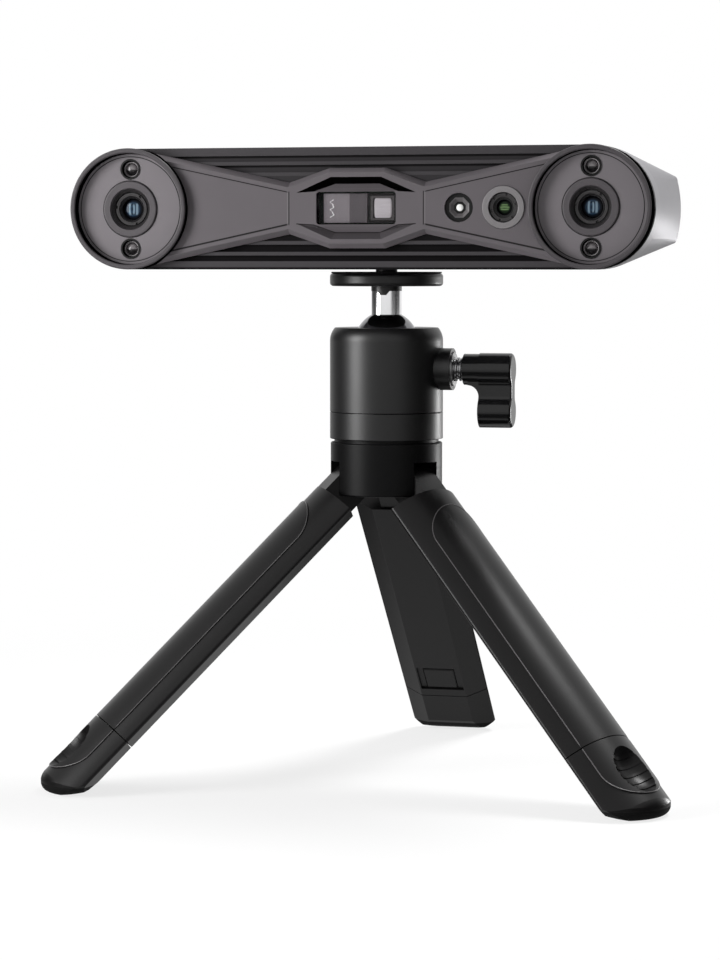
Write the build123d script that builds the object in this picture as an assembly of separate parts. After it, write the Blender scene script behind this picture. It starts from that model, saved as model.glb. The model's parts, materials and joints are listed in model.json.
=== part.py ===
"""Handheld three-d scanner standing on a folding mini tripod with a ball head.

Millimetres, +Z up. The scanner looks along -Y, +X is its own left-to-right as seen in front,
and the model is drawn about the tripod's axis before it is set down on its reference point.
"""
import os
from math import asin, cos, pi, radians, sin, sqrt, tan

from build123d import *

# Shared fits and cuts
cut_over = 1.0            # overrun of every cut past the face it opens
running_fit = 0.08        # radial clearance of a turning pair
slide_fit = 0.20          # clearance of a sliding pair, each side
seam_gap = 0.30           # visible joint line between two parts that close on each other
edge_break = 0.40         # small rounding of outer edges

# Scanner, outside
end_radius = 16.9         # radius of the round ends, half the height
end_spacing = 130.8       # between the two camera centres
mount_setback = 38.0      # from the front of the rings back to the tripod thread
body_depth = 50.0         # front of the rings to the back wall
front_depth = 8.5         # depth of the dark front section
ring_inner_radius = 15.5
ring_seat_depth = 2.0     # frame left behind the rings
fascia_setback = 2.4      # ring front to fascia front
fin_setback = 5.0         # ring front to the tops of the fins
scanner_gap = 0.7         # daylight between the top plate and the scanner

# Scanner, fins above and below the fascia
fin_groove_depth = 2.2
fin_groove_low = 10.0     # lower edge of the inner groove, from the centre line
fin_groove_width = 2.0
fin_land = 1.0            # ridge between the two grooves
fin_outer_groove_width = 1.6

# Scanner, bow tie fascia
waist_half_length = 19.3
waist_half_height = 5.75
wing_end_half_length = 60.0
wing_end_half_height = 14.45
window_top_half_length = 7.7
window_top_half_height = 9.75
fascia_bevel_width = 1.3
fascia_bevel_depth = 1.9
pocket_outer_half_length = 17.0
pocket_outer_half_height = 4.25
pocket_top_half_length = 7.15
pocket_top_half_height = 8.55
pocket_floor_half_length = 6.3
pocket_floor_half_height = 6.65
pocket_inner_half_length = 11.9
pocket_inner_half_height = 4.55
pocket_depth = 2.0        # deepest line of the hollow below the fascia

# Scanner, projector window
window_length = 22.6
window_height = 9.0
window_corner = 0.8
window_recess = 0.7
window_thickness = 0.8
window_ledge = 0.8
projector_offset = 7.2    # from the middle to the pattern projector
projector_size = 8.0
laser_offset = 3.3        # from the middle to the laser module, the other way
laser_length = 12.4
laser_height = 8.0
projector_lens_size = 5.4
projector_lens_depth = 0.6

# Scanner, stereo cameras
plate_setback = 2.9       # ring front to camera plate front
plate_thickness = 1.6
plate_clearance = 0.15
hood_radius = 7.8
hood_proud = 0.5
hood_throat_radius = 5.9
hood_depth = 3.0
barrel_radius = 5.0
barrel_setback = 4.6      # ring front to barrel front
barrel_mouth_radius = 3.5
barrel_mouth_depth = 1.2
lens_radius = 2.95
lens_crown = 0.6
lens_thickness = 1.6
infrared_spacing = 11.1   # from the lens axis to each light
infrared_hole_radius = 2.9
infrared_sleeve_wall = 0.45
infrared_sleeve_proud = 0.25
infrared_led_radius = 2.2
infrared_led_setback = 0.8
infrared_led_length = 3.4

# Scanner, white light and colour camera on the fascia
white_offset = 28.95
white_hole_radius = 4.0
white_setback = 0.9
white_reflector_thickness = 1.0
white_led_size = 2.6
white_led_height = 0.9
colour_offset = 41.4
colour_ring_radius = 5.85
colour_ring_inner_radius = 4.1
colour_ring_proud = 0.35
colour_barrel_radius = 4.0
colour_barrel_setback = 0.9
colour_mouth_radius = 2.6
colour_mouth_depth = 0.8
colour_lens_radius = 2.1
colour_lens_crown = 0.45
colour_lens_thickness = 1.0

# Scanner, rear shell
shell_wall = 2.0
shell_straight = 8.0      # untapered stretch behind the front section
back_half_height = 9.7
back_inset = 0.3          # back corners inside the ends of the front section
back_corner = 1.6         # where the back face turns into the ends
back_bulge = 1.0          # how far the end edge bows outwards
end_facet_angle = 30.0    # half angle of the end band on the round end
boss_length = 30.0        # flat pad round the tripod thread
boss_width = 18.0
boss_corner = 4.0
boss_gap = 0.1            # pad above the lowest line of the front section

# Scanner, inside
post_spacing_x = 88.0
post_spacing_z = 7.0
post_radius = 2.6
case_screw_radius = 1.25
case_screw_head_radius = 2.2
case_screw_head_height = 1.2
case_screw_length = 9.0
board_thickness = 1.6
board_length = 72.0
board_height = 13.0
board_boss_radius = 2.2
board_hole_inset = 6.0    # bosses and screws from the board's ends
board_boss_height = 6.4
board_screw_radius = 0.9
board_screw_head_radius = 1.7
board_screw_head_height = 1.0
camera_board_size = 17.0
camera_board_thickness = 1.4
optics_board_height = 11.0
optics_board_margin = 4.4 # beyond the laser module
button_radius = 5.0
button_proud = 1.0
button_travel = 0.6
button_flange = 0.8
button_flange_thickness = 0.8
button_stem_radius = 1.5
switch_size = 6.0
switch_height = 2.6
switch_gap = 0.15
status_inset = 12.0       # status light from the board's end
status_radius = 1.2
status_proud = 0.1
usb_width = 9.0
usb_height = 3.3
usb_corner = 1.5
usb_length = 7.5
usb_wall = 0.35
usb_board_length = 14.0
usb_board_gap = 1.2       # board's edge inside the end wall
usb_board_height = 11.0
usb_setback = 12.0        # socket centre in front of the back wall
usb_tongue_thickness = 0.7
usb_tongue_width = 6.7

# Ball head
plate_radius = 16.25
plate_height = 4.07
stem_length = 16.4        # ball centre to the plate's underside
pad_height = 0.4
pad_inset = 0.4
screw_radius = 3.1        # quarter inch thread
screw_reach = 6.2         # above the top plate
screw_depth = 7.0
stem_radius = 4.4
plate_edge = 1.0
collar_under_plate = 1.4  # plate's neck on top of the stem
stem_key_top_width = 3.8  # slot at the stem's top that the neck keys into
stem_key_floor_width = 1.9
stem_key_depth = 1.15
ball_radius = 9.3
ball_below_rim = 4.5
shoulder_height = 3.7
shoulder_inset = 1.4
housing_radius = 16.25
housing_height = 24.0
housing_bore = 12.6
base_height = 7.8
base_wall = 3.2
neck_radius = 15.0
neck_height = 1.0
cup_radius = 12.4
cup_top_drop = 0.6        # cup top below the ball centre
cup_below_ball = 13.4     # cup's floor below the ball centre
cup_floor_radius = 4.0
knob_below_ball = 7.3     # clamp screw's axis below the ball centre
boss_radius = 6.0
boss_reach = 3.35         # beyond the housing's side
bush_radius = 4.9
bush_proud = 0.5
clamp_radius = 3.4
clamp_tip_radius = 2.6
clamp_tip_length = 1.6
thread_pitch = 1.0
thread_depth = 0.35
screw_gap = 3.4           # thread in view between boss and collar
collar_length = 4.6
collar_radius = 4.45
knob_length = 9.6
knob_radius = 4.7
wing_reach = 16.6         # below the knob's axis
wing_end_radius = 4.6
wing_waist_radius = 3.6
wing_waist_width = 5.6
knob_rounding = 0.9
web_radius = 3.2          # hollow between the collar and the wing

# Leg hub
hub_radius = 16.05
hub_below_pin = 4.1
hub_height = 15.0
slot_width = 9.4
slot_above_pin = 5.55
slot_inner_radius = 4.6
stud_radius = 4.0
pin_radius = 1.5
pin_half_length = 9.2
pivot_radius = 10.0       # pin from the tripod's axis
pivot_height = 86.2

# Legs, drawn closed along the tripod's axis and then spread
leg_count = 3
leg_spread = 45.4
leg_radius = 16.05
panel_step = 0.3          # raised grip panel on the outer face
panel_half_width = 10.0
panel_top = 14.5
panel_overlap = 19.5      # panel's run on to the foot
inner_flat = 4.4
leg_side_gap = 0.4        # between neighbours when the legs are closed
leg_corner = 0.9
inner_corner = 0.5
shoulder_start = 8.3
tongue_width = 9.0
tongue_end_radius = 5.0
foot_length = 23.8        # joint of leg and foot to the floor, along the leg
foot_extension = 30.0
rail_in = 8.0
rail_out = 13.0
rail_half_width = 5.0
rail_hold = 10.0          # rail left in the leg with the foot drawn out
rail_end_gap = 1.0
sole_thickness = 2.6
sole_flat_length = 2.9
sole_lift_run = 6.5       # shallow lift behind the flat
sole_lift_rise = 1.4
sole_heel_run = 6.0       # steeper lift behind that
sole_heel_rise = 5.3
sole_flat_half_width = 6.0
sole_side_rise = 4.5      # sides of the sole above the flat
sole_side_bow_share = 0.2  # of that rise, half way out
toe_crown = 5.0           # rounding of the outer face into the toe
toe_edge = 2.5            # rounding of the toe into the floor
toe_blend = 0.03          # step between those roundings and the faces they end
toe_side_inset = 1.55     # round end of the foot, seen from above, inside the leg's radius
dimple_drop = 11.5        # its middle below the joint
dimple_half_length = 9.2
dimple_half_width = 8.0
dimple_depth = 3.8
ridge_count = 5
ridge_width = 0.8
ridge_height = 0.25
ridge_pitch = 2.6
catch_length = 9.0
catch_width = 9.6
catch_thickness = 1.2
catch_recess_length = 10.8
catch_recess_width = 13.6
catch_recess_depth = 0.6
catch_travel = 0.8
catch_above_joint = 8.6

# Places that follow from the sizes above
half_spacing = end_spacing / 2
ring_front = -mount_setback
front_back = ring_front + front_depth
back_face = ring_front + body_depth
fascia_front = ring_front + fascia_setback
fin_front = ring_front + fin_setback
plate_front = ring_front + plate_setback
plate_back = plate_front + plate_thickness
taper_start = front_back + shell_straight
back_half_length = half_spacing + end_radius - back_inset
board_boss_spacing = board_length - 2 * board_hole_inset
status_offset = board_length / 2 - status_inset
hub_bottom = pivot_height - hub_below_pin
hub_top = hub_bottom + hub_height
slot_top = pivot_height + slot_above_pin
base_bottom = hub_top + neck_height
housing_bottom = base_bottom + base_height
rim_height = housing_bottom + housing_height
ball_height = rim_height - ball_below_rim
cup_bottom = ball_height - cup_below_ball
knob_axis_height = ball_height - knob_below_ball
boss_end = housing_radius + boss_reach
collar_start = boss_end + screw_gap
knob_start = collar_start + collar_length
knob_end = knob_start + knob_length
plate_bottom = ball_height + stem_length
plate_top = plate_bottom + plate_height
scanner_height = plate_top + scanner_gap + end_radius
leg_joint = pivot_height / cos(radians(leg_spread)) - foot_length
panel_bottom = leg_joint + panel_overlap
dimple_centre = leg_joint + dimple_drop
toe_radius = leg_radius - toe_side_inset
rail_start = leg_joint - foot_extension - rail_hold
leg_azimuths = {"right": -30.0, "rear": 90.0, "left": 210.0}
camera_sides = {"left": -1, "right": 1}


# Basic solids by their limits
def block(x0, x1, y0, y1, z0, z1):
    """Box between two corners."""
    middle = Pos((x0 + x1) / 2, (y0 + y1) / 2, (z0 + z1) / 2)
    return middle * Box(abs(x1 - x0), abs(y1 - y0), abs(z1 - z0))


def post(radius, z0, z1, x=0, y=0):
    """Upright cylinder."""
    return Pos(x, y, (z0 + z1) / 2) * Cylinder(radius, z1 - z0)


def barrel_y(radius, y0, y1, x=0, z=0):
    """Cylinder along the viewing direction."""
    return Pos(x, (y0 + y1) / 2, z) * Rot(90, 0, 0) * Cylinder(radius, y1 - y0)


def barrel_x(radius, x0, x1, y=0, z=0):
    """Cylinder across the part."""
    return Pos((x0 + x1) / 2, y, z) * Rot(0, 90, 0) * Cylinder(radius, x1 - x0)


def face_xz(points, y):
    """Polygon of (x, z) points standing at a depth y."""
    return Face(Wire(Polyline(*[(x, y, z) for x, z in points], close=True).edges()))


def plate_xz(points, y0, y1):
    """Polygon of (x, z) points as a plate between two depths."""
    return Solid.extrude(face_xz(points, y0), Vector(0, y1 - y0, 0))


def mirrored_outline(points):
    """Closed outline from its upper half, mirrored about the length."""
    return points + [(x, -z) for x, z in reversed(points)]


def lens_cap(radius, crown, thickness, front, x, z=0):
    """Lens with a spherical front: sphere radius = (r^2 + h^2) / 2h for a crown of height h."""
    sphere_radius = (radius ** 2 + crown ** 2) / (2 * crown)
    ball = Pos(x, front + sphere_radius, z) * Sphere(sphere_radius)
    return ball & barrel_y(radius, front - cut_over, front + thickness, x, z)


def front_edges(shape, y):
    """Edges that lie wholly in the plane of one depth."""
    return shape.edges().filter_by_position(Axis.Y, y - edge_break / 4, y + edge_break / 4)


def together(solids):
    """Several separate solids as one piece."""
    return Part() + solids


# Scanner: front section
def stadium(radius, y0, y1):
    """Plate with two round ends about the camera centres."""
    bar = block(-half_spacing, half_spacing, y0, y1, -radius, radius)
    for side in camera_sides.values():
        bar += barrel_y(radius, y0, y1, side * half_spacing)
    return bar


def post_places():
    """Four posts that hold the rear shell."""
    return [(x * post_spacing_x / 2, z * post_spacing_z / 2) for x in (-1, 1) for z in (-1, 1)]


def infrared_places():
    """Two lights above and below each camera lens."""
    return [(side * half_spacing, z * infrared_spacing) for side in camera_sides.values() for z in (-1, 1)]


def front_frame():
    """Finned metal frame: seats for the rings and camera plates, posts for the rear shell."""
    seat = front_back - ring_seat_depth
    bar = block(-half_spacing, half_spacing, fin_front, seat, -end_radius, end_radius)
    outer_groove = fin_groove_low + fin_groove_width + fin_land
    for low, width in ((fin_groove_low, fin_groove_width), (outer_groove, fin_outer_groove_width)):
        for side in (-1, 1):
            bar -= block(-half_spacing, half_spacing, fin_front - cut_over,
                         fin_front + fin_groove_depth, side * low, side * (low + width))
    for side in camera_sides.values():
        x = side * half_spacing
        bar -= barrel_y(end_radius, fin_front - cut_over, seat + cut_over, x)
        bar += barrel_y(ring_inner_radius - plate_clearance, plate_back, seat + edge_break, x)
    frame = stadium(end_radius, seat, front_back) + bar
    for side in camera_sides.values():
        x = side * half_spacing
        frame -= barrel_y(barrel_radius + running_fit, plate_back - cut_over, front_back + cut_over, x)
        frame -= barrel_y(hood_radius + running_fit, plate_back - cut_over, plate_front + hood_depth, x)
    for x, z in infrared_places():
        frame -= barrel_y(infrared_hole_radius, plate_back - cut_over, front_back + cut_over, x, z)
    half = window_length / 2 + window_ledge
    frame -= block(-half, half, fin_front - cut_over, front_back + cut_over,
                   -window_height / 2 - window_ledge, window_height / 2 + window_ledge)
    frame -= barrel_y(white_hole_radius, fin_front - cut_over, front_back + cut_over, white_offset)
    frame -= barrel_y(colour_barrel_radius + running_fit, fin_front - cut_over,
                      front_back + cut_over, colour_offset)
    for x, z in post_places():
        frame += barrel_y(post_radius, front_back, back_face - shell_wall, x, z)
        frame -= barrel_y(case_screw_radius + running_fit, back_face - case_screw_length,
                          back_face, x, z)
    return frame


def fascia_outline():
    """Bow tie: two wings, a narrow waist each side and the taller window frame between."""
    return mirrored_outline([
        (-wing_end_half_length, wing_end_half_height),
        (-waist_half_length, waist_half_height),
        (-window_top_half_length, window_top_half_height),
        (window_top_half_length, window_top_half_height),
        (waist_half_length, waist_half_height),
        (wing_end_half_length, wing_end_half_height),
    ])


def grow(points, amount):
    """Outline pushed outwards: each corner moves along the mean of its two edge normals."""
    grown = []
    count = len(points)
    for index, (x, z) in enumerate(points):
        px, pz = points[index - 1]
        nx, nz = points[(index + 1) % count]
        before = Vector(x - px, z - pz).normalized()
        after = Vector(nx - x, nz - z).normalized()
        first = Vector(-before.Y, before.X)
        mean = (first + Vector(-after.Y, after.X)).normalized()
        reach = amount / mean.dot(first)
        grown.append((x + mean.X * reach, z + mean.Y * reach))
    return grown


def fascia_pocket(sign):
    """Hollow above or below the window: flat faces fall from its six sided rim to one deep line.

    The rim is drawn one overrun out of the plate, on the same slopes, so that no thin skin is left.
    """
    def outward(point, deep_point):
        share = cut_over / pocket_depth
        return (point[0] + (point[0] - deep_point[0]) * share, point[1] + (point[1] - deep_point[1]) * share)

    deep_right = (pocket_floor_half_length, pocket_floor_half_height)
    upper = [(pocket_top_half_length, pocket_top_half_height),
             (pocket_outer_half_length, pocket_outer_half_height),
             (pocket_inner_half_length, pocket_inner_half_height)]
    right = [outward(point, deep_right) for point in upper]
    rim = [(x, fascia_front - cut_over, sign * z) for x, z in right]
    rim += [(-x, y, z) for x, y, z in reversed(rim)]
    deep = fascia_front + pocket_depth
    ends = [(deep_right[0], deep, sign * deep_right[1]), (-deep_right[0], deep, sign * deep_right[1])]
    top_right, tip_right, low_right, low_left, tip_left, top_left = rim
    sides = [
        rim,
        [top_left, top_right, ends[0], ends[1]],
        [low_right, low_left, ends[1], ends[0]],
        [top_right, tip_right, ends[0]],
        [tip_right, low_right, ends[0]],
        [low_left, tip_left, ends[1]],
        [tip_left, top_left, ends[1]],
    ]
    faces = [Face(Wire(Polyline(*points, close=True).edges())) for points in sides]
    return Part() + Solid(Shell(faces))


def front_fascia():
    """Bevelled bow tie plate with two pockets, the window and two round openings."""
    inner = fascia_outline()
    outer = grow(inner, fascia_bevel_width)
    side = fascia_front + fascia_bevel_depth
    bevel = Solid.make_loft(
        [face_xz(inner, fascia_front).outer_wire(), face_xz(outer, side).outer_wire()], True)
    plate = Part() + bevel + plate_xz(outer, side, fin_front)
    for sign in (-1, 1):
        plate -= fascia_pocket(sign)
    plate -= rounded_window(window_length, window_height, fascia_front - cut_over, fin_front + cut_over)
    plate -= rounded_window(window_length + 2 * window_ledge, window_height + 2 * window_ledge,
                            fascia_front + window_recess, fin_front + cut_over)
    plate -= barrel_y(white_hole_radius, fascia_front - cut_over, fin_front + cut_over, white_offset)
    plate -= barrel_y(colour_ring_radius + running_fit, fascia_front - cut_over,
                      fin_front + cut_over, colour_offset)
    for sign in camera_sides.values():
        plate -= barrel_y(end_radius + running_fit, fascia_front - cut_over,
                          fin_front + cut_over, sign * half_spacing)
    return plate


def rounded_window(length, height, y0, y1):
    """Box across the middle of the fascia with rounded corners."""
    slab = Box(length, y1 - y0, height)
    slab = fillet(slab.edges().filter_by(Axis.Y), window_corner)
    return Pos(0, (y0 + y1) / 2, 0) * slab


def bezel_ring(side):
    """Ring that stands proud round a camera plate."""
    x = side * half_spacing
    seat = front_back - ring_seat_depth
    ring = barrel_y(end_radius, ring_front, seat, x)
    ring -= barrel_y(ring_inner_radius, ring_front - cut_over, seat + cut_over, x)
    return fillet(front_edges(ring, ring_front), edge_break)


def camera_plate(side):
    """Round cover plate with openings for the lens hood and the two infrared lights."""
    x = side * half_spacing
    plate = barrel_y(ring_inner_radius - plate_clearance, plate_front, plate_back, x)
    plate -= barrel_y(hood_radius + running_fit, plate_front - cut_over, plate_back + cut_over, x)
    for z in (-infrared_spacing, infrared_spacing):
        plate -= barrel_y(infrared_hole_radius, plate_front - cut_over, plate_back + cut_over, x, z)
    return plate


def lens_hood(side):
    """Stepped collar round the lens, funnelled towards the barrel."""
    x = side * half_spacing
    front = plate_front - hood_proud
    back = plate_front + hood_depth
    hood = barrel_y(hood_radius, front, back, x)
    hood = fillet(front_edges(hood, front), edge_break)
    funnel_end = ring_front + barrel_setback
    depth = funnel_end - front
    funnel = Pos(x, (front + funnel_end) / 2, 0) * Rot(90, 0, 0) * Cone(
        barrel_radius + running_fit, hood_throat_radius, depth)
    hood -= funnel
    return hood - barrel_y(barrel_radius + running_fit, front, back + cut_over, x)


def lens_barrel(side):
    """Threaded lens barrel with a stepped mouth for the glass."""
    x = side * half_spacing
    front = ring_front + barrel_setback
    barrel = barrel_y(barrel_radius, front, front_back, x)
    barrel -= barrel_y(barrel_mouth_radius, front - cut_over, front + barrel_mouth_depth / 2, x)
    return barrel - barrel_y(lens_radius + running_fit, front - cut_over,
                             front + barrel_mouth_depth + lens_thickness, x)


def camera_lenses():
    """Domed front elements of the two cameras."""
    front = ring_front + barrel_setback + barrel_mouth_depth
    return together([lens_cap(lens_radius, lens_crown, lens_thickness, front, side * half_spacing)
                              for side in camera_sides.values()])


def infrared_sleeves():
    """Four thin sleeves that line the infrared openings."""
    outer = infrared_hole_radius - running_fit / 2
    front = plate_front - infrared_sleeve_proud
    solids = []
    for x, z in infrared_places():
        sleeve = barrel_y(outer, front, front_back, x, z)
        sleeve -= barrel_y(outer - infrared_sleeve_wall, front - cut_over, front_back + cut_over, x, z)
        solids.append(sleeve)
    return together(solids)


def infrared_leds():
    """Four round headed infrared lights."""
    front = plate_front + infrared_led_setback
    solids = []
    for x, z in infrared_places():
        head = Pos(x, front + infrared_led_radius, z) * Sphere(infrared_led_radius)
        led = head + barrel_y(infrared_led_radius, front + infrared_led_radius,
                              front + infrared_led_radius + infrared_led_length, x, z)
        solids.append(led)
    return together(solids)


def white_holder():
    """Holder of the white light with an eight sided well."""
    front = fascia_front + white_setback
    holder = barrel_y(white_hole_radius - running_fit, front, front_back, white_offset)
    well = extrude(RegularPolygon(white_hole_radius - white_reflector_thickness, 8, rotation=22.5),
                   white_led_height + cut_over)
    return holder - Pos(white_offset, front + white_led_height, 0) * Rot(90, 0, 0) * well


def white_led():
    """Small square light on the floor of the well."""
    front = fascia_front + white_setback
    half = white_led_size / 2
    return block(white_offset - half, white_offset + half, front + white_led_height / 2,
                 front + white_led_height, -half, half)


def colour_ring():
    """Pale ring round the colour camera."""
    front = fascia_front - colour_ring_proud
    ring = barrel_y(colour_ring_radius, front, fin_front, colour_offset)
    ring -= barrel_y(colour_ring_inner_radius, front - cut_over, fin_front + cut_over, colour_offset)
    return fillet(front_edges(ring, front), colour_ring_proud / 2)


def colour_barrel():
    """Colour lens barrel."""
    front = fascia_front + colour_barrel_setback
    barrel = barrel_y(colour_barrel_radius, front, front_back, colour_offset)
    barrel -= barrel_y(colour_mouth_radius, front - cut_over, front + colour_mouth_depth / 2, colour_offset)
    return barrel - barrel_y(colour_lens_radius + running_fit, front - cut_over,
                             front + colour_mouth_depth + colour_lens_thickness, colour_offset)


def colour_glass():
    """Domed front element of the colour camera."""
    front = fascia_front + colour_barrel_setback + colour_mouth_depth
    return lens_cap(colour_lens_radius, colour_lens_crown, colour_lens_thickness, front, colour_offset)


def projector_window():
    """Clear pane seated behind the fascia's window edge."""
    front = fascia_front + window_recess
    spare = 2 * window_ledge - 2 * running_fit
    return rounded_window(window_length + spare, window_height + spare, front, front + window_thickness)


def optics_front():
    """Depth where the modules behind the window begin."""
    return fascia_front + window_recess + window_thickness


def pattern_projector():
    """Square projector with a shallow well round its bright aperture."""
    half = projector_size / 2
    lens = projector_lens_size / 2
    front = optics_front()
    body = block(projector_offset - half, projector_offset + half, front, front_back, -half, half)
    return body - block(projector_offset - lens, projector_offset + lens, front - cut_over,
                        front + projector_lens_depth, -lens, lens)


def projector_lens():
    """Bright square aperture of the projector."""
    lens = projector_lens_size / 2
    front = optics_front()
    return block(projector_offset - lens, projector_offset + lens, front + projector_lens_depth / 2,
                 front + projector_lens_depth, -lens, lens)


def laser_module():
    """Laser line emitter beside the projector."""
    half_length = laser_length / 2
    half_height = laser_height / 2
    return block(-laser_offset - half_length, -laser_offset + half_length, optics_front(), front_back,
                 -half_height, half_height)


# Scanner: rear shell and what it holds
def shell_wire(radius, half_height, half_length, inset, y):
    """Outline of the rear shell at one depth, as eight edges that pair up from front to back.

    With a radius it is the rounded front outline, otherwise the flatter back outline.
    """
    if radius:
        angle = radians(end_facet_angle)
        turn = radians((90 + end_facet_angle) / 2)
        top = (half_spacing, radius)
        high = (half_spacing + radius * cos(angle), radius * sin(angle))
        corner = (half_spacing + radius * cos(turn), radius * sin(turn))
        tip = half_spacing + radius
    else:
        size = back_corner - inset
        top = (half_length - size, half_height)
        high = (half_length, half_height - size)
        corner = (half_length - size * (1 - cos(pi / 4)), half_height - size * (1 - sin(pi / 4)))
        tip = half_length + back_bulge
    def at(point, side, way):
        return (side * point[0], y, way * point[1])
    edges = [
        Edge.make_line(at(top, -1, 1), at(top, 1, 1)),
        Edge.make_three_point_arc(at(top, 1, 1), at(corner, 1, 1), at(high, 1, 1)),
        Edge.make_three_point_arc(at(high, 1, 1), (tip, y, 0), at(high, 1, -1)),
        Edge.make_three_point_arc(at(high, 1, -1), at(corner, 1, -1), at(top, 1, -1)),
        Edge.make_line(at(top, 1, -1), at(top, -1, -1)),
        Edge.make_three_point_arc(at(top, -1, -1), at(corner, -1, -1), at(high, -1, -1)),
        Edge.make_three_point_arc(at(high, -1, -1), (-tip, y, 0), at(high, -1, 1)),
        Edge.make_three_point_arc(at(high, -1, 1), at(corner, -1, 1), at(top, -1, 1)),
    ]
    return Wire(edges)


def end_wall(y):
    """Half length of the rear shell at a depth: straight at first, then an even taper to the back."""
    front = half_spacing + end_radius
    share = max(0, (y - taper_start) / (back_face - taper_start))
    return front + share * (back_half_length + back_bulge - front)


def rear_shell():
    """Tapered shell: round ended at the front, flat and lower at the back, with a thread pad below."""
    shell = stadium(end_radius, front_back, taper_start) + Solid.make_loft([
        shell_wire(end_radius, 0, 0, 0, taper_start),
        shell_wire(0, back_half_height, back_half_length, 0, back_face)], True)
    half = boss_length / 2
    pad_bottom = -end_radius + boss_gap
    pad = block(-half, half, -boss_width / 2, boss_width / 2, pad_bottom, 0)
    shell += fillet(pad.edges().filter_by(Axis.Z), boss_corner)
    hollow_end = back_face - shell_wall
    inner_radius = end_radius - shell_wall
    hollow = stadium(inner_radius, front_back - cut_over, taper_start) + Solid.make_loft([
        shell_wire(inner_radius, 0, 0, shell_wall / 2, taper_start),
        shell_wire(0, back_half_height - shell_wall, back_half_length - shell_wall, shell_wall / 2,
                   hollow_end)], True)
    block_top = insert_top()
    hollow -= block(-half, half, -boss_width / 2, boss_width / 2, -end_radius, block_top)
    shell -= hollow
    shell -= post(insert_radius(), -end_radius - cut_over, block_top + cut_over)
    for x, z in post_places():
        shell -= barrel_y(case_screw_radius + running_fit, hollow_end - cut_over, back_face + cut_over, x, z)
        shell -= barrel_y(case_screw_head_radius + running_fit, back_face - case_screw_head_height,
                          back_face + cut_over, x, z)
    board_seat = hollow_end - board_boss_height
    for side in (-1, 1):
        x = side * board_boss_spacing / 2
        shell += barrel_y(board_boss_radius, board_seat, hollow_end, x)
        shell -= barrel_y(board_screw_radius + running_fit, board_seat - cut_over,
                          hollow_end - shell_wall / 2, x)
        shell += barrel_y(board_boss_radius, usb_board_back(), hollow_end,
                          usb_board_centre(), side * usb_board_height / 4)
    shell -= barrel_y(button_radius + slide_fit, hollow_end - cut_over, back_face + cut_over)
    shell -= barrel_y(status_radius + running_fit, hollow_end - cut_over, back_face + cut_over, status_offset)
    opening = Box(2 * shell_wall + 2 * cut_over, usb_height + 2 * running_fit, usb_width + 2 * running_fit)
    opening = fillet(opening.edges().filter_by(Axis.X), usb_corner)
    return shell - Pos(-end_wall(usb_depth()), usb_depth(), 0) * opening


def insert_top():
    """Top of the block that holds the tripod thread."""
    return -end_radius + boss_gap + screw_reach + shell_wall


def insert_radius():
    """Outer radius of the threaded insert."""
    return screw_radius + shell_wall * 3 / 4


def tripod_insert():
    """Threaded bush for the tripod screw."""
    bottom = -end_radius + boss_gap
    bush = post(insert_radius() - running_fit / 2, bottom, insert_top())
    return bush - post(screw_radius + running_fit, bottom - cut_over, bottom + screw_reach + shell_wall / 2)


def case_screws():
    """Four screws through the back wall into the posts."""
    solids = []
    for x, z in post_places():
        screw = barrel_y(case_screw_radius, back_face - case_screw_length + edge_break, back_face, x, z)
        screw += barrel_y(case_screw_head_radius, back_face - case_screw_head_height, back_face, x, z)
        solids.append(screw - barrel_y(case_screw_radius * 2 / 3, back_face - case_screw_head_height / 2,
                                       back_face + cut_over, x, z))
    return together(solids)


def board_back():
    """Rear face of the main board, on the shell's two bosses."""
    return back_face - shell_wall - board_boss_height


def main_board():
    """Main circuit board with its processor can and connector blocks."""
    back = board_back()
    front = back - board_thickness
    board = block(-board_length / 2, board_length / 2, front, back, -board_height / 2, board_height / 2)
    chip = board_height / 4
    board += block(-chip, chip, front - board_thickness, front, -chip, chip)
    for side in (-1, 1):
        x = side * board_length / 4
        board += block(x - chip, x + chip, front - board_thickness, front, -chip / 2, chip / 2)
        board -= barrel_y(board_screw_radius + running_fit, front - cut_over, back + cut_over,
                          side * board_boss_spacing / 2)
    return board


def board_screws():
    """Two screws that hold the main board."""
    back = board_back()
    front = back - board_thickness
    solids = []
    for side in (-1, 1):
        x = side * board_boss_spacing / 2
        screw = barrel_y(board_screw_radius, front, back + board_boss_height / 2, x)
        solids.append(screw + barrel_y(board_screw_head_radius, front - board_screw_head_height, front, x))
    return together(solids)


def camera_boards():
    """Sensor boards behind the two lens barrels."""
    half = camera_board_size / 2
    solids = []
    for side in camera_sides.values():
        x = side * half_spacing
        solids.append(block(x - half, x + half, front_back, front_back + camera_board_thickness, -half, half))
    return together(solids)


def optics_board():
    """Board behind the projector, the lights and the colour camera, up to the posts."""
    left = -laser_offset - laser_length / 2 - optics_board_margin
    right = post_spacing_x / 2 - post_radius - slide_fit
    half = optics_board_height / 2
    return block(left, right, front_back, front_back + camera_board_thickness, -half, half)


def scan_button():
    """Round button in the back wall, with the flange that keeps it in and a stem to its switch."""
    inside = back_face - shell_wall
    cap = barrel_y(button_radius, inside - button_flange_thickness, back_face + button_proud)
    cap = fillet(front_edges(cap, back_face + button_proud), button_proud / 2)
    cap += barrel_y(button_radius + button_flange, inside - button_flange_thickness - running_fit,
                    inside - running_fit)
    stem_start = board_back() + switch_height + switch_gap + button_travel
    return cap + barrel_y(button_stem_radius, stem_start, inside - button_flange_thickness)


def button_switch():
    """Tactile switch on the main board."""
    half = switch_size / 2
    back = board_back()
    switch = block(-half, half, back, back + switch_height / 2, -half, half)
    return switch + barrel_y(button_stem_radius, back, back + switch_height)


def status_light():
    """Light pipe from the main board to the back wall."""
    return barrel_y(status_radius, board_back(), back_face + status_proud, status_offset)


def usb_depth():
    """Depth of the socket's middle."""
    return back_face - usb_setback


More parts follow.
